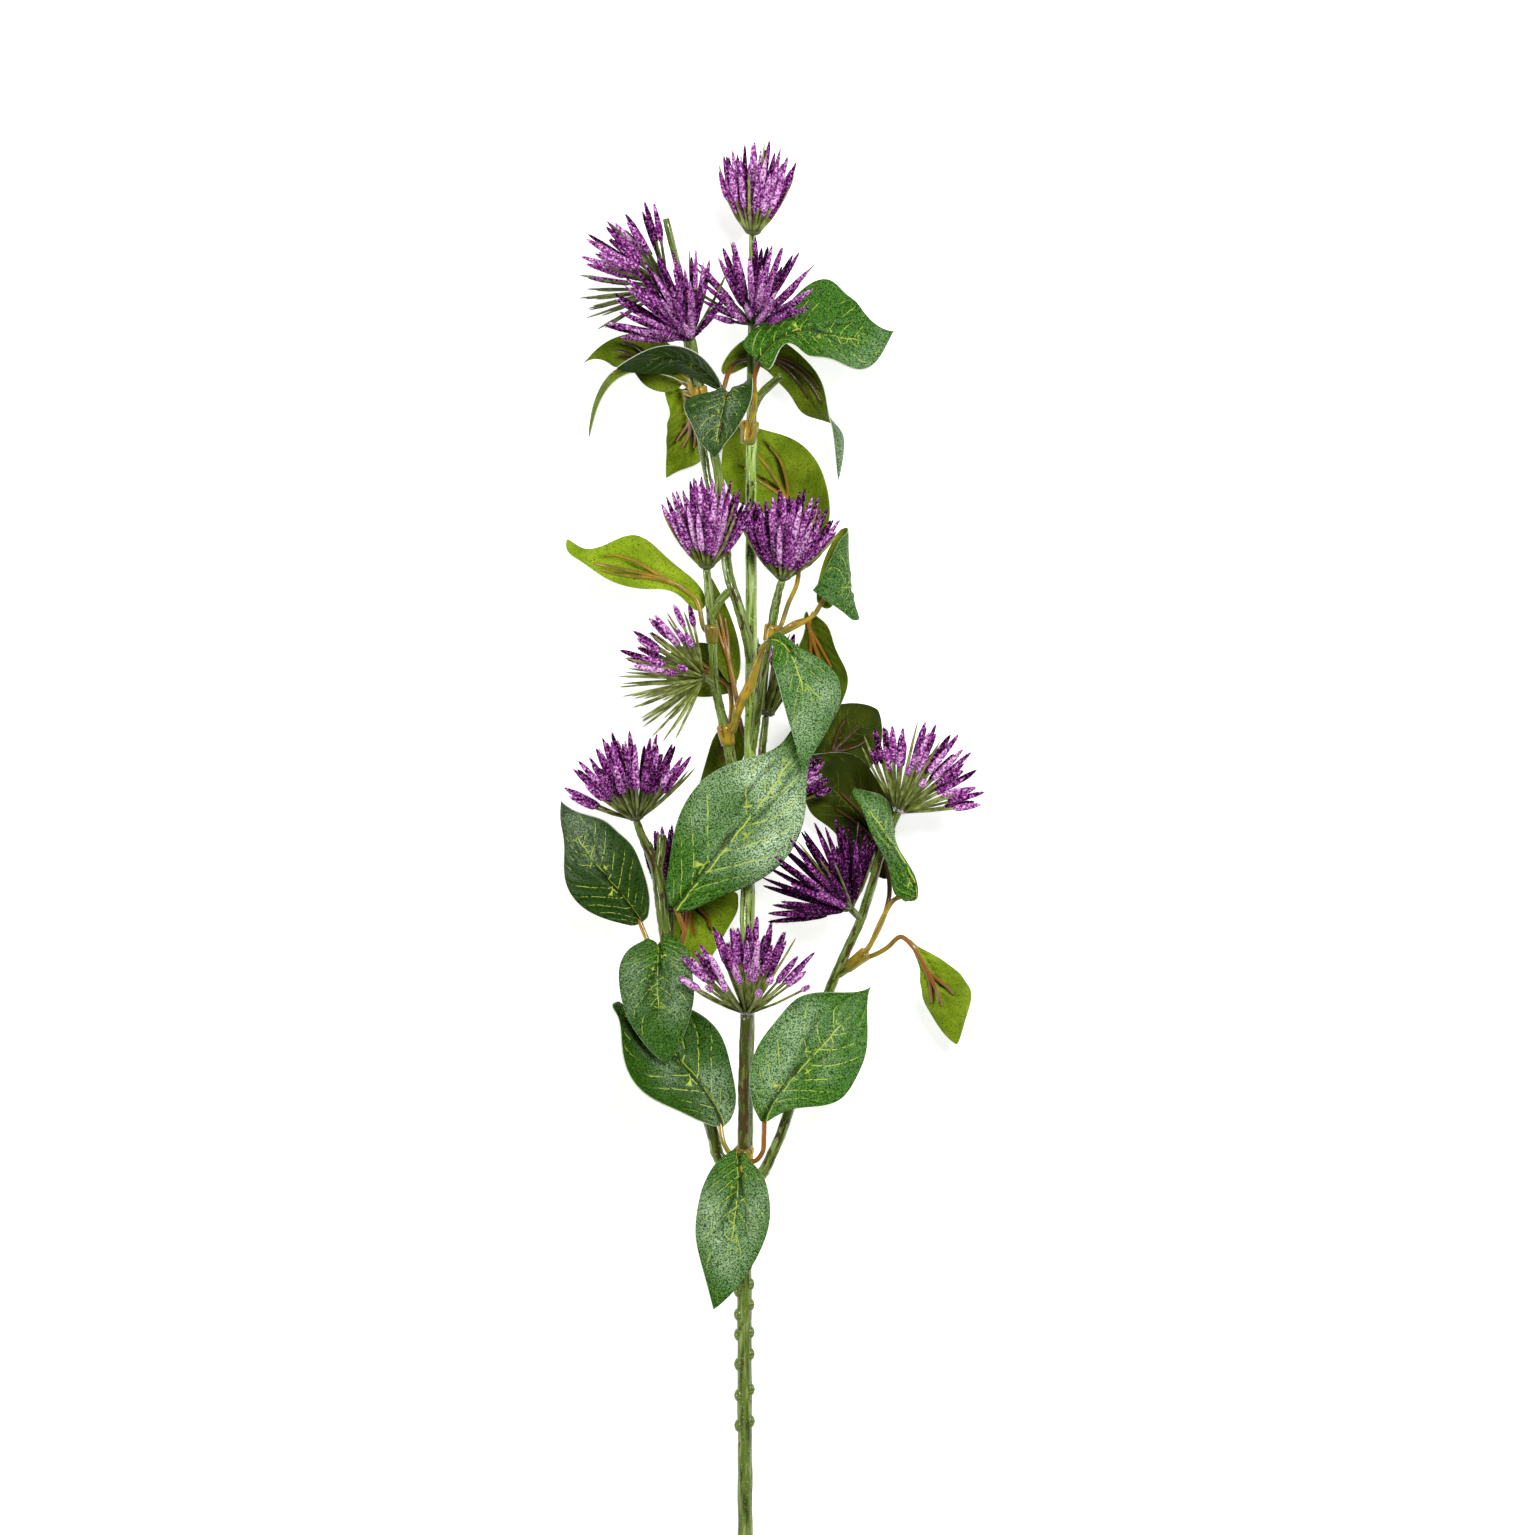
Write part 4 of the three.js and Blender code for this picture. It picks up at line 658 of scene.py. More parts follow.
def cut_leaf(leaf, rows=84, lines=41, thick=0.5):
    """A blade with both its faces and the cut edge between them. Rows crowd towards both ends, where they
    close in a point. A face that would go below the table lies on it. Each corner's lie is t, s and its
    distance from the midrib over the leaf's length, and its fold is the height that the ribs press it to,
    in millimetres."""
    t = (1 - np.cos(np.pi * np.arange(1, rows + 1) / (rows + 1)))[:, None] / 2
    s = np.linspace(-1, 1, lines)
    normal = blade_normal(leaf, t, s)
    middle = blade(leaf, t, s) + normal * pressed_relief(leaf, t, s)[..., None]
    ends = np.array([0.0, 1.0])
    end_normal = blade_normal(leaf, ends, 0 * ends)
    middle = np.concatenate([middle.reshape(-1, 3), blade(leaf, ends, 0 * ends)])
    normal = np.concatenate([normal.reshape(-1, 3), end_normal])
    points = np.concatenate([middle + normal * thick / 2, middle - normal * thick / 2])
    faces = points.reshape(2, -1, 3)
    lower = np.argmin(faces[..., 2], 0)
    spots = np.arange(faces.shape[1])
    faces[lower, spots, 2] = np.maximum(faces[lower, spots, 2], 0)
    least = np.where(faces[lower, spots, 2] > 0, 0, thick)
    faces[1 - lower, spots, 2] = np.maximum(faces[1 - lower, spots, 2], least)
    at = np.arange(rows * lines).reshape(rows, lines)
    start, end, count = rows * lines, rows * lines + 1, rows * lines + 2
    quads = np.stack([at[:-1, :-1], at[:-1, 1:], at[1:, 1:], at[1:, :-1]], -1).reshape(-1, 4)
    fans = np.concatenate([
        np.stack([np.full(lines - 1, start), at[0, 1:], at[0, :-1]], -1),
        np.stack([at[-1, :-1], at[-1, 1:], np.full(lines - 1, end)], -1),
    ])
    border = np.r_[start, at[:, -1], end, at[::-1, 0]]
    after = np.roll(border, -1)
    rim = np.stack([border, border + count, after + count, after], -1)
    where_t = np.r_[np.repeat(t[:, 0], lines), 0, 1]
    where_s = np.r_[np.tile(s, rows), 0, 0]
    length = np.sum(np.linalg.norm(np.diff(blade(leaf, np.linspace(0, 1, 40), np.zeros(40)), axis=0), axis=1))
    lie = np.stack([where_t, where_s, where_s * half_width(leaf, where_t, where_s) / length], -1)
    looks = np.repeat([0, 1, 2, 0, 1], [len(quads), len(quads), len(rim), len(fans), len(fans)])
    shape = {
        "points": points, "quads": np.concatenate([quads, (quads + count)[:, ::-1], rim]),
        "triangles": np.concatenate([fans, (fans + count)[:, ::-1]]), "lie": np.concatenate([lie, lie]),
        "fold": np.tile(pressed_relief(leaf, where_t, where_s), 2),
    }
    return shape, looks


def vein_print(tree, lie, width):
    """Where the printed veins are, 0 or 1: side veins that leave the midrib every tenth of the leaf and arc
    towards the tip, a line beside the midrib, and a few twigs near it on the borders of small cells. All
    wander a little, break into strokes, and thin out towards the edge."""
    apart = add(tree, "SeparateXYZ", {0: lie})
    t, s, off = (apart.node.outputs[i] for i in range(3))
    flat = add(tree, "Mapping", {0: lie, 3: (1, 0, 1)})
    wander = reckoned(tree, "SUBTRACT", grain(tree, flat, 8, 2), 0.5)
    side = reckoned(tree, "ABSOLUTE", s)
    root = scaled(tree, reckoned(tree, "POWER", side, 1.2), -0.26, t)
    turn = times(tree, scaled(tree, wander, 0.045, root), 1 / 0.1)
    turn = scaled(tree, reckoned(tree, "SIGN", s), 0.22, turn)
    near = reckoned(tree, "PINGPONG", turn, 0.5)
    strokes = graded(tree, grain(tree, flat, 38, 1), 0.42, 0.50)
    patch = graded(tree, grain(tree, flat, 5, 1), 0.40, 0.50)
    line = times(tree, graded(tree, near, width * 3.0, width * 1.4), strokes)
    cells = add(tree, "TexVoronoi", {"Vector": flat, "Scale": 13, "Randomness": 1},
                feature="DISTANCE_TO_EDGE")
    close = graded(tree, scaled(tree, wander, 0.5, side), 0.34, 0.12)
    twig = times(tree, graded(tree, cells, width * 3.2, width * 1.4), close)
    twig = times(tree, twig, graded(tree, grain(tree, flat, 18, 1), 0.53, 0.60))
    line = reckoned(tree, "MAXIMUM", line, twig)
    line = times(tree, times(tree, line, patch), graded(tree, side, 0.92, 0.72))
    line = times(tree, line, graded(tree, root, 0.8, 0.7))
    aside = scaled(tree, wander, 0.03, off)
    aside = reckoned(tree, "ABSOLUTE", reckoned(tree, "SUBTRACT", aside, width * 1.1))
    ahead = graded(tree, t, 0.88, 0.7)
    rib = times(tree, graded(tree, aside, width * 0.3, width * 0.12), ahead)
    rib = times(tree, rib, graded(tree, grain(tree, flat, 26, 1), 0.34, 0.44))
    return reckoned(tree, "MAXIMUM", line, rib), near


def printed_side(tree):
    """Satin weave: a deep green print that clouds over some millimetres, flecks of thread, a painted sheen
    of pale speckled strokes standing for the satin's highlight, painted shade in the creases, and the veins."""
    where = placed(tree)
    lie = carried(tree, "lie", 1)
    tint, fold, painted_sheen = (carried(tree, name) for name in ("tint", "fold", "painted_sheen"))
    veins, near = vein_print(tree, lie, 0.015)
    cloud = grain(tree, where, 90, 3)
    dull = mixed(tree, cloud, (0.006, 0.024, 0.001), (0.022, 0.046, 0.002))
    fresh = mixed(tree, cloud, (0.012, 0.100, 0.002), (0.072, 0.215, 0.012))
    green = mixed(tree, tint, dull, fresh)
    thread = grain(tree, where, 1500, 1)
    fleck = times(tree, graded(tree, thread, 0.50, 0.70), tint)
    green = mixed(tree, fleck, green, (0.115, 0.27, 0.03))
    green = mixed(tree, graded(tree, thread, 0.48, 0.34), green, (0.003, 0.018, 0.001))
    band = grain(tree, add(tree, "Mapping", {0: lie, 2: (0, 0, 0.5), 3: (6, 1.2, 0)}), 1.6, 2)
    bands = scaled(tree, graded(tree, band, 0.3, 0.7), 0.4, 0.5)
    threads = scaled(tree, graded(tree, thread, 0.38, 0.62), 0.8, 0.1)
    # Painted sheen: pale speckled colour laid along the strokes in place of the satin's highlight.
    show = times(tree, times(tree, painted_sheen, bands), threads)
    green = mixed(tree, show, green, (0.56, 0.74, 0.46))
    # Painted shade: the creases that the ribs press in are darkened towards black.
    crease_shade = times(tree, graded(tree, fold, -0.2, -1.1), 0.65)
    green = mixed(tree, crease_shade, green, (0.004, 0.016, 0.001))
    veins = times(tree, veins, graded(tree, tint, -0.06, 0.12))
    colour = mixed(tree, veins, green, (0.42, 0.52, 0.06))
    relief = embossed(tree, thread, 0.5, 0.00025)
    relief = embossed(tree, graded(tree, near, 0.0, 0.16), 0.35, 0.0005, Normal=relief)
    return {"Base Color": colour, "Normal": relief}


def bare_side(tree):
    """The cloth's dull back: olive where the print came through, mottled and with fine dark grain, and
    painted shade in the hollows behind the pleats.
    """
    where = placed(tree)
    lie = carried(tree, "lie", 1)
    tint, fold = (carried(tree, name) for name in ("tint", "fold"))
    veins, near = vein_print(tree, lie, 0.018)
    cloud = graded(tree, grain(tree, where, 75, 4), 0.3, 0.7)
    dull = mixed(tree, cloud, (0.014, 0.028, 0.0004), (0.052, 0.068, 0.0014))
    fresh = mixed(tree, cloud, (0.19, 0.30, 0.006), (0.34, 0.48, 0.02))
    olive = mixed(tree, tint, dull, fresh)
    speck = grain(tree, where, 1700, 3)
    olive = mixed(tree, graded(tree, speck, 0.50, 0.72), olive, (0.020, 0.034, 0.001))
    # Painted shade: darker where the front stands out, in the hollows of the back.
    olive = mixed(tree, graded(tree, fold, 0.25, 1.0), olive, (0.030, 0.030, 0.001))
    colour = mixed(tree, times(tree, veins, 0.22), olive, (0.30, 0.34, 0.03))
    relief = embossed(tree, speck, 0.5, 0.0002)
    return {"Base Color": colour, "Normal": relief}


def cut_edge(tree):
    where = placed(tree)
    return {"Base Color": mixed(tree, grain(tree, where, 700), (0.30, 0.38, 0.18), (0.72, 0.78, 0.62))}


leaf_cloth = [
    coated("leaf_print", printed_side, roughness=0.42, specular_ior_level=0.18),
    coated("leaf_back", bare_side, roughness=0.7, specular_ior_level=0.08),
    coated("leaf_cut_edge", cut_edge, roughness=0.7),
]
for name, leaf in leaves.items():
    shape, looks = cut_leaf(leaf)
    shape["tint"] = np.full(len(shape["points"]), leaf_tone_and_shade[name])
    sheen_strokes = np.array(painted_sheen_strokes.get(name, [[0, 0, 1, 0, 1, 0]]), float)
    from_start, stroke = shape["points"][:, None, :2] - sheen_strokes[:, :2], sheen_strokes[:, 2:4] - sheen_strokes[:, :2]
    nearest = np.clip(np.sum(from_start * stroke, -1) / np.sum(stroke ** 2, -1), 0, 1)
    apart = np.linalg.norm(from_start - nearest[..., None] * stroke, axis=2)
    # How strongly each point lies under a stroke of painted sheen.
    shape["painted_sheen"] = np.max(sheen_strokes[:, 5] * np.exp(-(apart / sheen_strokes[:, 4]) ** 2), axis=1)
    piece(name + "_cloth", shape, leaf_cloth, name, looks)


# The yokes are ochre plastic: a collar pushed onto the stem, a bent petiole to each leaf, and three ribs
# that the cloth is glued on. The middle rib runs on past the fork of the other two.
yokes = {
    "yoke_01": {
        "collar": [[-8.6, 206.5, 41], [-7.6, 215.5, 41.8]], "radius": 4.2, "petioles": {
            "leaf_01": [[-7.4, 213.5, 45.6], [-5.4, 226, 51], [-5.6, 236, 54]],
            "leaf_07": [[-11.5, 214, 46], [-16, 221, 56]],
        },
    },
    "yoke_02": {
        "collar": [[-25.2, 207, 48.7], [-27, 214.5, 49.9]], "radius": 3.4, "petioles": {
            "leaf_02": [[-23, 214, 48.5], [-20.5, 226, 48]],
            "leaf_03": [[-24.5, 213, 53.2], [-20, 224.5, 54]],
        },
    },
    "yoke_03": {
        "collar": [[-28.8, 224, 51.8], [-30.2, 231, 52.8]], "radius": 3.3, "petioles": {
            "leaf_04": [[-33, 229.5, 49.5]],
            "leaf_05": [[-33.6, 229, 53.5]],
            "leaf_06": [[-34.4, 228, 49], [-37, 229, 42]],
        },
    },
    "yoke_04": {
        "collar": [[0.9, 117.5, 46.8], [2.2, 124, 47.6]], "radius": 3.3, "petioles": {
            "leaf_08": [[5.8, 123.5, 45.4], [9.5, 134, 42.5], [14, 146, 38.5]],
            "leaf_10": [[5.8, 120.5, 49], [14, 124.5, 50.3], [21, 129, 50.6]],
            "leaf_11": [[5.8, 121.5, 46.4], [12.5, 125.5, 45]],
        },
    },
    "yoke_05": {
        "collar": [[-17.4, 71, 44.9], [-19, 79, 46.4]], "radius": 3.8, "petioles": {
            "leaf_12": [[-15.2, 79, 49, 1.5], [-12.5, 88, 52.5, 2.1], [-7.5, 98, 53.5, 2.1]],
            "leaf_25": [[-16.8, 79.5, 41.4], [-16, 89, 34.5]],
            "leaf_26": [[-14.4, 78, 44.5], [-13.4, 88, 42]],
        },
    },
    "yoke_06": {
        "collar": [[-24.6, 117, 52], [-25.2, 124, 53]], "radius": 3.2,
        "petioles": {"leaf_09": [[-28.6, 123.5, 50.5]]},
    },
    "yoke_07": {
        "collar": [[36, -29.6, 38.9], [44.5, -23, 41.5]], "radius": 3.1, "petioles": {
            "leaf_14": [[46.5, -19, 38], [52, -8, 35], [55, 3, 33]],
            "leaf_15": [[46, -20, 43], [51, -9, 47], [57, 1, 49]],
            "leaf_16": [[48, -23.8, 42], [54, -20.5, 44], [60, -15.6, 46]],
        },
    },
    "yoke_08": {
        "collar": [[-10.35, -118.5, 37.1], [-10.4, -111, 40.8]], "radius": 4.4, "petioles": {
            "leaf_20": [[-15.5, -114, 42.5], [-19.6, -108, 43]],
            "leaf_21": [[-5.6, -116.5, 42], [-1.9, -112, 43], [-1.4, -105, 44]],
            "leaf_22": [[-11, -114.5, 45.5]],
        },
    },
    "yoke_09": {
        "collar": [[-43.6, -27, 39], [-45, -19, 40]], "radius": 3.9, "petioles": {
            "leaf_17": [[-39.5, -20, 42.5], [-37, -14, 45], [-39, -8, 47]],
            "leaf_18": [[-51, -22, 39], [-54.3, -16, 38]],
            "leaf_19": [[-46, -22, 45.5], [-47.3, -18.5, 49]],
            "leaf_24": [[-39, -19, 34], [-35.5, -6, 26]],
        },
    },
    "yoke_10": {
        "collar": [[-3.2, 52, 24.6], [-2.5, 60, 24.6]], "radius": 3, "petioles": {
            "leaf_13": [[2, 56, 20], [9, 55, 15]],
            "leaf_23": [[-6.4, 60, 24.5], [-9, 72, 25]],
        },
    },
}


def under(leaf, t, s, thick, thin):
    """Rib points at t, s under the blade, each with its radius, sunk a little into the cloth's back."""
    t, s = np.asarray(t, float), np.asarray(s, float)
    radius = np.linspace(thick, thin, len(t))
    drop = np.minimum(pressed_relief(leaf, t, s), 0) - 0.2 - 0.85 * radius
    points = blade(leaf, t, s) + blade_normal(leaf, t, s) * drop[:, None]
    points[:, 2] = np.maximum(points[:, 2], radius)
    return np.column_stack([points, radius])


def channelled(points, steps, sides, brown):
    """A bar whose upper side is sunk to a shallow channel between two lips, wherever it faces up. Its brown
    goes from the first share to the second between a quarter and two fifths of its length."""
    line = course(points, steps)
    along, across, up = framed(line[:, :3])
    turn = 2 * np.pi * np.arange(sides) / sides
    high = (np.cos(turn) * across[:, 2:] + np.sin(turn) * up[:, 2:])
    bar = rod(line[:, :3], line[:, 3], sides, 1.12 - 0.42 * np.maximum(high, 0) ** 7)
    run = bar["lie"][:, 2]
    bar["tint"] = np.interp(run, [0, 0.25 * run.max(), 0.4 * run.max()], [brown[0], brown[0], brown[1]])
    return bar


def yoke_paint(tree):
    """Ochre plastic, olive in places, with orange-brown streaks, and dark brown where it is tinted."""
    where = placed(tree)
    lie = carried(tree, "lie", 1)
    cloud = grain(tree, where, 130, 2)
    colour = mixed(tree, graded(tree, cloud, 0.35, 0.65), (0.40, 0.27, 0.012), (0.17, 0.16, 0.012))
    drawn = add(tree, "Mapping", {0: lie, 3: (1.5, 1.5, 0.1)})
    colour = mixed(tree, graded(tree, grain(tree, drawn, 1.5), 0.52, 0.66), colour, (0.19, 0.055, 0.006))
    tint = carried(tree, "tint")
    colour = mixed(tree, graded(tree, tint, 0.0, 0.5), colour, (0.25, 0.085, 0.008))
    colour = mixed(tree, graded(tree, tint, 0.5, 1.0), colour, (0.042, 0.018, 0.003))
    relief = embossed(tree, grain(tree, where, 600), 0.3, 0.0002)
    return {"Base Color": colour, "Normal": relief}


ochre = coated("ochre_plastic", yoke_paint, roughness=0.45, specular_ior_level=0.25, coat_weight=0.5,
               coat_roughness=0.12)
# How brown each leaf's petiole and its ribs are; the others are plain ochre.
browned = {
    "leaf_01": [0, 0.8], "leaf_02": [0.1, 0.95], "leaf_03": [0, 0.8], "leaf_04": [0.1, 0.95],
    "leaf_06": [0, 0.35], "leaf_07": [0, 0.8], "leaf_08": [0, 0.12], "leaf_11": [0.1, 0.35],
    "leaf_13": [0.2, 0.95], "leaf_14": [0.1, 0.85], "leaf_16": [0, 0.45], "leaf_17": [0.3, 0.6],
    "leaf_18": [0.1, 0.6], "leaf_19": [0.1, 0.6], "leaf_21": [0.45, 0.7], "leaf_23": [0.2, 0.85],
    "leaf_24": [0.45, 0.6], "leaf_25": [0.1, 0.25], "leaf_26": [0.1, 0.3],
}
for name, yoke in yokes.items():
    low, high = np.array(yoke["collar"], float)
    middle = (low + high) / 2
    sleeve = np.column_stack([np.linspace(low, high, 7), yoke["radius"] * np.linspace(0.84, 1.04, 7)])
    collar = rod(sleeve[:, :3], sleeve[:, 3], 22)
    bars = [{**collar, "tint": np.zeros(len(collar["points"]))}]
    for leaf_name, via in yoke["petioles"].items():
        leaf = leaves[leaf_name]
        stalk = np.array([[*p, 1.0][:4] for p in [list(middle), *via]], float)
        rib = under(leaf, [0.05, 0.17, 0.3, 0.43, 0.57, 0.7], [0] * 6, 1.0, 0.5)
        brown = browned.get(leaf_name, [0, 0.1])
        bars.append(channelled(np.vstack([stalk, rib]), 6, 12, brown))
        for hand in (-1, 1):
            sideways = hand * np.array([0, 0.12, 0.25, 0.36, 0.44])
            side_rib = under(leaf, [0.24, 0.34, 0.44, 0.54, 0.64], sideways, 0.9, 0.45)
            bars.append(channelled(side_rib, 5, 9, [brown[1]] * 2))
    piece(name + "_moulding", assembled(bars), [ochre], name)


# The flowers are heads of moulded plastic needles on a small disc that is pushed onto the end of its stem.
# The needles are green, and their upper ends were dipped in glue and dusted with purple flock.
# Each head has the stem, and its arm if any, that it sits on, its facing, the half angles of its needles
# across and in depth, their length and how upright they bend, the head's turn, the needles left out, the
# share of a needle that is flocked, how much less of it the outer and the upper needles have, the ways in
# which needles are bare, the share of them that is bare anywhere, how much painted shade darkens the green
# needles (deep), how dark the flock is, and how much of it strayed onto the disc.
heads = {
    "head_01": {"on": ["main_stem"], "axis": [0.09, 1, 0.15], "spread": [33, 33], "reach": 41, "upright": 0.9,
                "flock": 0.76, "outer": 0.7, "dark": 0.35},
    "head_02": {"on": ["sprig_top_left", 1], "axis": [-0.9, 0.44, 0.05], "spread": [62, 34], "reach": 41,
                "upright": 0.1, "flock": 0.5, "bald": [[-0.3, -0.95, 0, 0.12], [0.8, 0.6, 0, 0.5]],
                "deep": 0.9, "dark": 0.35},
    "head_03": {"on": ["sprig_top_left"], "axis": [-0.4, 0.7, 0.62], "spread": [56, 46], "reach": 43,
                "upright": 0.2, "turned": 4.68, "out": [32, 40, 45, 47, 52], "flock": 0.85, "dark": 0.35,
                "dust": 0.2},
    "head_04": {"on": ["main_stem", 0], "axis": [-0.02, 0.72, 0.66], "spread": [64, 42], "reach": 41,
                "upright": 0.15, "turned": 4.29, "out": [48, 52, 57], "flock": 0.66,
                "bald": [[-0.9, 0.1, 0, 0.72], [-0.3, 1, -0.4, 0.9]], "deep": 0.8, "dark": 0.4, "dust": 0.2},
    "head_05": {"on": ["sprig_mid_left"], "axis": [0.02, 1, 0.3], "spread": [38, 34], "reach": 41,
                "upright": 0.6, "flock": 0.75, "dark": 0.3, "dust": 0.15},
    "head_06": {"on": ["sprig_mid_right"], "axis": [0.14, 1, 0.3], "spread": [44, 36], "reach": 41,
                "upright": 0.6, "flock": 0.72, "dark": 0.4, "dust": 0.15},
    "head_07": {"on": ["sprig_mid_left", 1], "axis": [-1, 0.15, 0.35], "spread": [72, 50], "reach": 38,
                "upright": 0.1, "flock": 0.34, "bald": [[-0.2, -1, 0, 0.3]], "dark": 0.15,
                "plain": 0.6},
    "head_08": {"on": ["branch_left"], "axis": [-0.16, 1, 0.2], "spread": [62, 48], "reach": 40,
                "upright": 0.25, "flock": 0.58, "front": 0.3, "deep": 0.5, "dark": 0.5},
    "head_09": {"on": ["branch_left", 1], "axis": [-0.02, 1, -0.05], "spread": [20, 20], "reach": 38,
                "upright": 0.3, "needles": 36, "flock": 0.6, "dark": 0.9},
    "head_10": {"on": ["branch_front"], "axis": [0.04, 0.92, 0.42], "spread": [62, 52], "reach": 43,
                "upright": 0.2, "turned": 0.39, "flock": 0.42, "front": 0.4, "dark": 0.15, "dust": 0.8},
    "head_11": {"on": ["branch_right"], "axis": [0.5, 0.88, 0.25], "spread": [58, 46], "reach": 42,
                "upright": 0.15, "flock": 0.42, "front": 0.3, "dark": 0.45, "dust": 0.8},
    "head_12": {"on": ["branch_right", 1], "axis": [-0.62, 0.78, 0.4], "spread": [60, 44], "reach": 43,
                "upright": 0.2, "turned": 2.34, "flock": 0.88, "deep": 0.5, "dark": 1.1, "dust": 0.3},
    "head_13": {"on": ["sprig_back"], "axis": [0.2, 1, -0.05], "spread": [20, 22], "reach": 38,
                "upright": 0.4, "needles": 36, "flock": 0.3, "dark": 0.5, "plain": 0.6},
    "head_14": {"on": ["sprig_back", 0], "axis": [0.62, 0.78, 0.1], "spread": [32, 24], "reach": 30,
                "upright": 0.3, "needles": 36, "flock": 0.45, "dark": 0.35},
}


golden = np.pi * (3 - 5 ** 0.5)


def rolled(*numbers):
    """A repeatable draw from 0 to 1 for each set of numbers: the broken-off part of a large sine."""
    mix = sum(np.asarray(n, float) * k for n, k in zip(numbers, (12.9898, 78.233, 37.719, 4.581)))
    return np.abs(np.sin(mix) * 43758.5453) % 1


def seat_of(head):
    """The disc's centre: on from the stem's end by a small gap and by the tilt between stem and head."""
    name, *arm = head["on"]
    path = np.array(stems[name]["arms"][arm[0]] if arm else stems[name]["path"], float)
    axis, stalk = unit(np.array(head["axis"], float)), unit(path[-1, :3] - path[-2, :3])
    return path[-1, :3] + axis * (0.3 + path[-1, 3] * np.sqrt(max(0, 1 - (axis @ stalk) ** 2)))


def needle_lines(head, index, stations):
    """The middle lines of the needles: turned on by the golden angle, they lean out with about the square
    root of their number, to the head's half angles, and bend upright. Each is a quadratic Bezier from the
    disc to its tip."""
    axis = unit(np.array(head["axis"], float))
    across = -unit(np.cross([0, 0, 1], axis))
    deep = np.cross(axis, across)
    share = (index + 0.5) / head.get("needles", 60)
    turn = index * golden + head.get("turned", 0)
    lean = share ** 0.55
    radial = np.cos(turn)[:, None] * across + np.sin(turn)[:, None] * deep
    wide, tall = np.radians(head["spread"])
    angle = np.hypot(np.cos(turn) * wide, np.sin(turn) * tall) * (lean + 0.06 * np.sin(index * 12.9898))
    reach = head["reach"] * (1 - 0.2 * lean + 0.06 * np.sin(index * 78.233))

    def pull(a):
        return np.cos(a)[:, None] * axis + np.sin(a)[:, None] * radial

    root = seat_of(head) + axis * 1.17 + radial * (2.73 * lean)[:, None]
    low = root + pull(angle * (1 + 0.5 * head["upright"])) * (reach * 0.4)[:, None]
    tip = low + pull(angle * (1 - 0.5 * head["upright"])) * (reach * 0.6)[:, None]
    u = stations[..., None]
    root, low, tip = root[:, None], low[:, None], tip[:, None]
    line = (1 - u) ** 2 * root + 2 * u * (1 - u) * low + u ** 2 * tip
    along = unit((1 - u) * (low - root) + u * (tip - low))
    return line, along


def bundle(line, along, radius, sides, first_turn):
    """Many closed needles at once: each ring lies square to its needle's own direction, and a point closes
    each end."""
    side = unit(np.cross([0.31, 0.17, 0.94], along))
    up = np.cross(along, side)
    turn = 2 * np.pi * np.arange(sides) / sides + first_turn[:, None, None]
    outward = np.cos(turn)[..., None] * side[:, :, None] + np.sin(turn)[..., None] * up[:, :, None]
    rings = line[:, :, None] + outward * radius[..., None]
    count, rows = line.shape[:2]
    size = rows * sides + 2
    points = np.concatenate([rings.reshape(count, -1, 3), line[:, :1] - along[:, :1] * 0.2,
                             line[:, -1:] + along[:, -1:] * 0.5], 1)
    quads, caps = ring_faces(rows, sides)
    shift = np.arange(count)[:, None, None] * size
    return points.reshape(-1, 3), (quads + shift).reshape(-1, 4), (caps + shift).reshape(-1, 3), size


def flock_paint(dark):
    """Purple flock: tufts from near black plum over violet to pale pink, after their own tint and the
    grain. The tint is partly random and partly painted light and shade: higher on needles that face up."""
    def paint(tree):
        where = placed(tree)
        tint = carried(tree, "tint")
        clump, fibre = grain(tree, where, 900, 1), grain(tree, where, 2600, 1)
        tone = scaled(tree, clump, 2.2, times(tree, fibre, 0.8))
        tone = reckoned(tree, "ADD", scaled(tree, tint, 1.0, -1.34 - 0.4 * dark), tone)
        plum = mixed(tree, graded(tree, tone, 0.0, 0.38), (0.016, 0.002, 0.014), (0.37, 0.050, 0.36))
        colour = mixed(tree, graded(tree, tone, 0.42, 0.85), plum, (0.95, 0.62, 0.92))
        relief = embossed(tree, fibre, 0.9, 0.0004)
        return {"Base Color": colour, "Normal": relief}
    return paint


def needle_paint(deep):
    """Green needles, yellower in places, with a few stray purple fibres. Deep darkens the greens as
    painted shade, for heads whose needles lie in shade.
    """
    def paint(tree):
        where = placed(tree)
        tint = carried(tree, "tint")
        # Painted shade: the more deep, the darker the head's greens.
        dull = mixed(tree, deep, (0.13, 0.16, 0.010), (0.030, 0.045, 0.004))
        fresh = mixed(tree, deep, (0.38, 0.44, 0.11), (0.13, 0.17, 0.03))
        green = mixed(tree, graded(tree, grain(tree, where, 260, 2), 0.35, 0.7), dull, fresh)
        stray = graded(tree, grain(tree, where, 1300, 1), 0.70, 0.76)
        return {"Base Color": mixed(tree, times(tree, stray, tint), green, (0.5, 0.25, 0.42))}
    return paint


def disc_paint(dust):
    """The disc under the needles: dark green plastic with purple and whitish dust on it."""
    def paint(tree):
        where = placed(tree)
        cover = graded(tree, grain(tree, where, 800, 3), 0.72 - 0.4 * dust, 0.8 - 0.4 * dust)
        pale = mixed(tree, grain(tree, where, 2200), (0.42, 0.28, 0.40), (0.75, 0.72, 0.70))
        return {"Base Color": mixed(tree, cover, (0.06, 0.075, 0.02), pale)}
    return paint


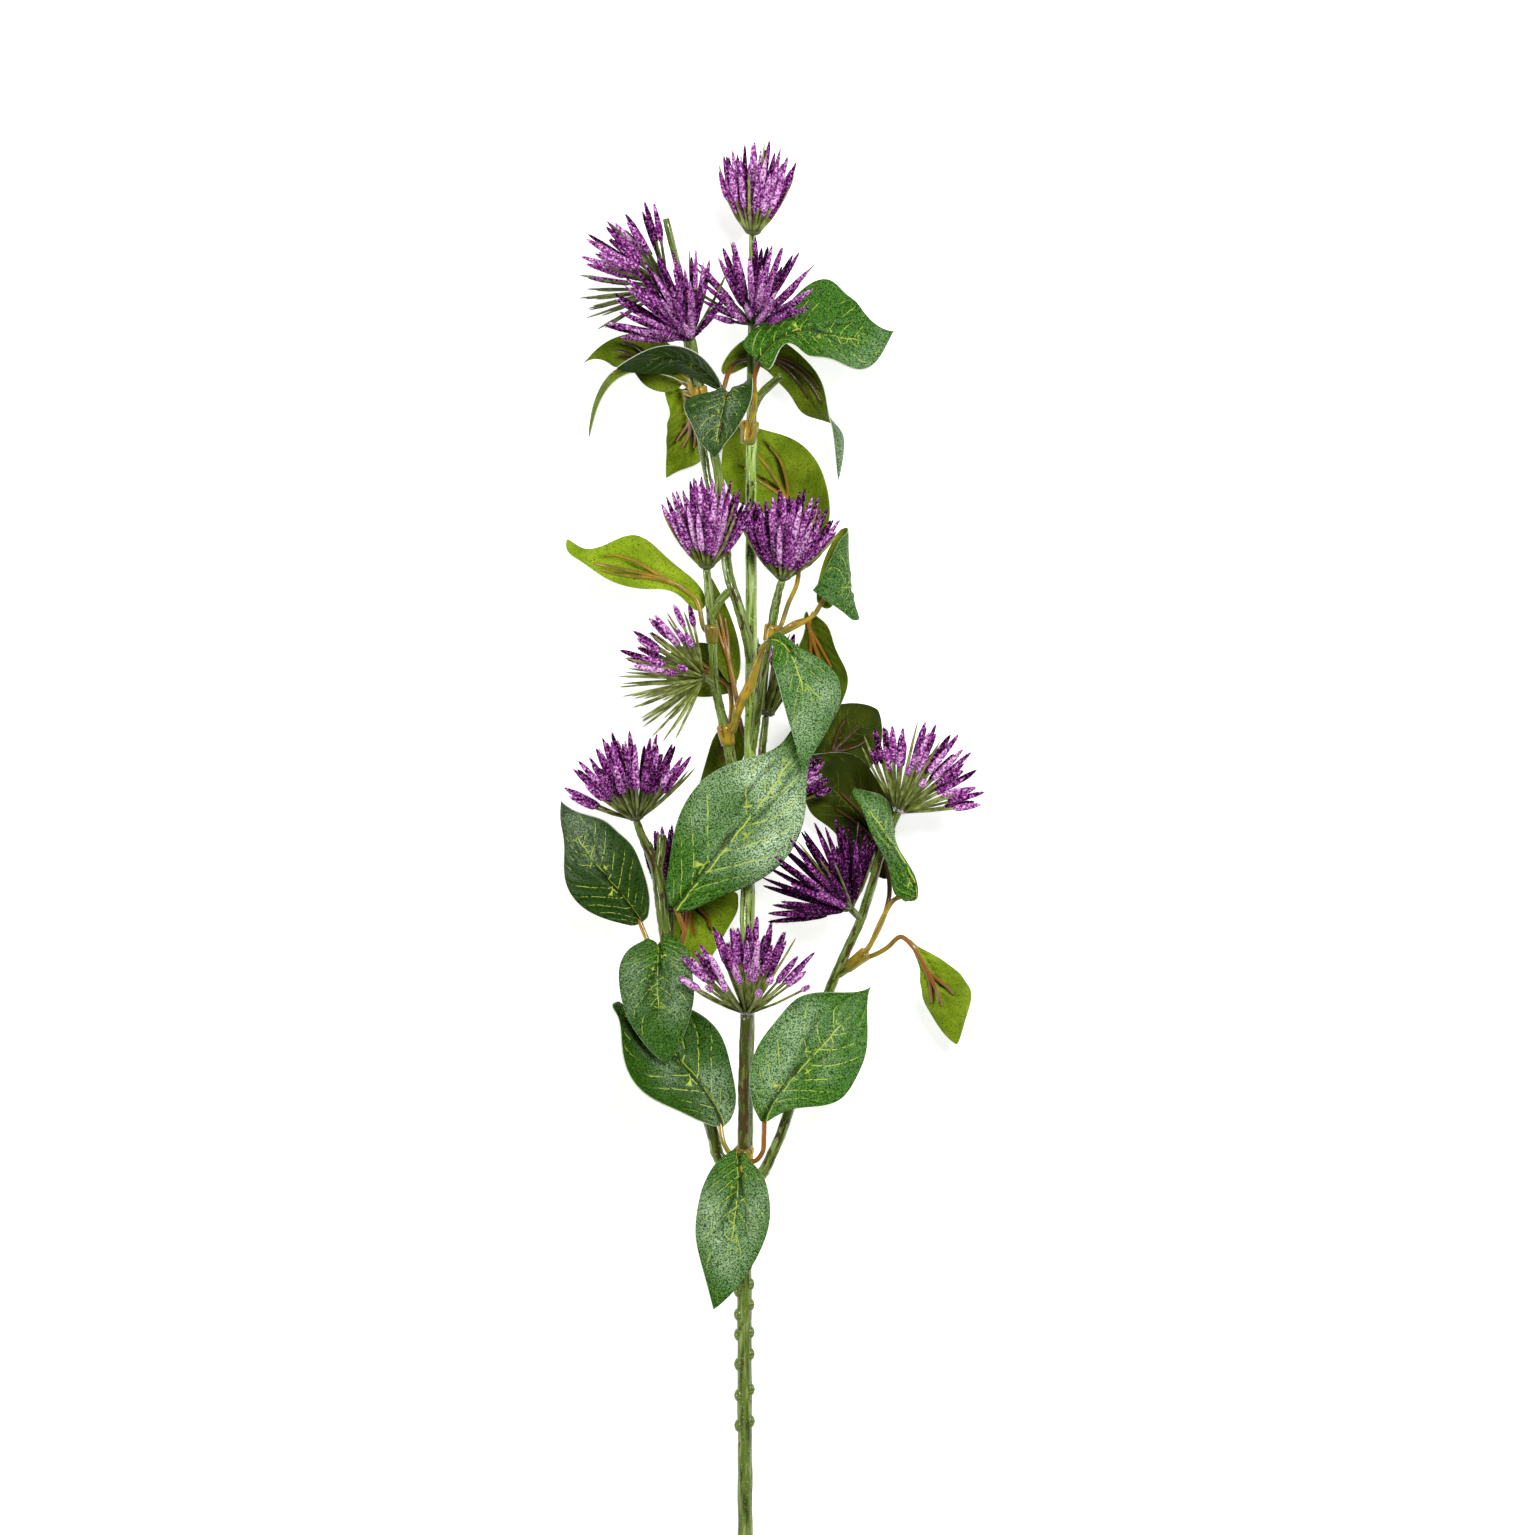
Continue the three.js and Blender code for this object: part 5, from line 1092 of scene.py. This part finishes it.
def needles_of(head, order):
    """Which needles the head has, which of them are bare, how far each faces up, from -1 to 1, and where
    its flock begins."""
    count = head.get("needles", 60)
    index = np.setdiff1d(np.arange(count), head.get("out", [])).astype(float)
    # A sixth of the inner needles is left out, as such heads are open inside.
    index = index[(rolled(index, order, 12) > 0.18) | (index > 0.8 * count)]
    share = (index + 0.5) / count
    tipward = unit(needle_lines(head, index, np.ones((len(index), 1)))[0][:, 0] - seat_of(head))
    bare = rolled(index, order) < head.get("plain", 0.04 + 0.1 * (share > 0.75))
    for *way, limit in head.get("bald", []):
        bare |= tipward @ unit(np.array(way, float)) + 0.2 * (rolled(index, order, 11) - 0.5) > limit
    upward = -np.sin(index * golden + head.get("turned", 0))
    less = head.get("outer", 0.25) * np.maximum(share - 0.5, 0)
    less += head.get("front", 0) * np.maximum(upward, 0) * share
    begin = np.clip(1 - head["flock"] * (0.86 + 0.28 * rolled(index, order, 3)) + less, 0.05, 0.88)
    return index, bare, upward, begin


def needle_rods(head, order, index, bare, upward, begin, sides=6):
    """The needles: a thin green rod each, thicker and rough from where its flock begins. A bare one runs
    out in a point. Also the looks of their quads and caps: 0 for flock and 1 for green."""
    rows = np.array([0, 0.5, 0.97, 1.0, 1.12, 1.4, 1.75, 1.93, 2.0])
    begin = begin[:, None]
    stations = np.where(rows <= 1, rows * begin, begin + (rows - 1) * (1 - begin))
    stations = np.where(bare[:, None], [0, 0.3, 0.55, 0.74, 0.84, 0.9, 0.95, 0.98, 1], stations)
    line, along = needle_lines(head, index, stations)
    pointed = [1, 1, 1, 1, 0.9, 0.75, 0.55, 0.4, 0.2]
    green_radius = 0.68 * (1 - 0.1 * stations) * np.where(bare[:, None], pointed, 1)
    plump = 0.85 + 0.3 * rolled(index, order, 5)
    flocked = np.array([0, 0, 0, 1.1, 1.4, 1.5, 1.2, 0.7, 0.3]) * plump[:, None]
    radius = np.where((rows > 0.98) & ~bare[:, None], flocked, green_radius)
    uneven = 2 * rolled(np.arange(sides), index[:, None, None], rows[:, None]) - 1
    rough = 1 + 0.16 * uneven * (rows[:, None] > 0.98)
    points, quads, caps, size = bundle(line, along, radius[..., None] * rough, sides, index)
    # Painted light and shade: needles that face up get a lighter tint, those that face down a darker one.
    tint = np.repeat(rolled(index, order, 7) * 0.5 + 0.17 * upward, size)
    looks = [np.where(bare[:, None], 1, np.repeat(one, sides)).ravel()
             for one in ([1, 1, 1, 0, 0, 0, 0, 0], [1, 0])]
    return {"points": points, "quads": quads, "triangles": caps, "tint": tint}, looks


def tufts_on(head, order, index, upward, begin, tufts=46):
    """Tufts of flock: small closed spikes that stand all over the flocked length of the needles given."""
    number, needle, begin = np.arange(tufts), index[:, None], begin[:, None]
    middle, way = needle_lines(head, index, begin + (1 - begin) * (0.02 + 0.96 * (number + 0.5) / tufts))
    side = unit(np.cross([0.31, 0.17, 0.94], way))
    up = np.cross(way, side)
    bearing = number * 2.4 + needle * 1.7
    outward = np.cos(bearing)[..., None] * side + np.sin(bearing)[..., None] * up
    thick = np.interp((number + 0.5) / tufts, [0, 0.12, 0.4, 0.75, 0.93, 1], [1.1, 1.4, 1.5, 1.2, 0.7, 0.3])
    foot = middle + outward * (thick * 0.8)[..., None]
    skew = unit(outward + 0.7 * way + 0.5 * (rolled(number, needle, order) - 0.5)[..., None] * side)
    height = 0.6 + 0.5 * rolled(number, needle, 2, order)
    peak = foot + skew * height[..., None]
    base = [foot + 0.26 * (np.cos(a) * way + np.sin(a) * np.cross(way, outward)) for a in (0, 2.1, 4.2)]
    points = np.stack([*base, peak], -2).reshape(-1, 3)
    first = np.arange(0, len(points), 4)[:, None, None]
    faces = (np.array([[3, 1, 0], [3, 2, 1], [3, 0, 2], [1, 2, 0]]) + first).reshape(-1, 3)
    # Painted light and shade: tufts on needles that face up get a lighter tint, the others a darker one.
    tint = np.repeat(rolled(number, needle, 9, order) * 0.95 + 0.17 * upward[:, None], 4)
    return {"points": points, "quads": np.zeros((0, 4), int), "triangles": faces, "tint": tint}


def disc_under(head):
    """The disc: a shallow cup turned about the head's axis. A rod's rings may not lie in one plane, so each
    of them stands a little higher than the one before."""
    axis = unit(np.array(head["axis"], float))
    rise = np.array([0.0, 0.0, 0.5, 1.2, 1.56, 2.3, 2.9, 3.3])
    out = np.array([1.2, 2.4, 3.1, 3.8, 3.9, 3.2, 2.0, 0.8])
    stalk = seat_of(head) + rise[:, None] * axis
    cup = rod(stalk + axis * np.arange(len(rise))[:, None] * 1e-4, out, 24)
    return {**cup, "tint": np.full(len(cup["points"]), 0.5)}


for order, (name, head) in enumerate(heads.items()):
    index, bare, upward, begin = needles_of(head, order)
    needles, (sides_look, caps_look) = needle_rods(head, order, index, bare, upward, begin)
    tufts = tufts_on(head, order, index[~bare], upward[~bare], begin[~bare])
    disc = disc_under(head)
    looks = np.concatenate([
        sides_look, np.full(len(disc["quads"]), 2), caps_look, np.zeros(len(tufts["triangles"])),
        np.full(len(disc["triangles"]), 2),
    ])
    piece(name + "_needles", assembled([needles, tufts, disc]), [
        coated(name + "_flock", flock_paint(head["dark"]), roughness=0.95, specular_ior_level=0.06),
        coated(name + "_green", needle_paint(head.get("deep", 0.15)), roughness=0.45),
        coated(name + "_disc", disc_paint(head.get("dust", 0.1)), roughness=0.6),
    ], name, looks)
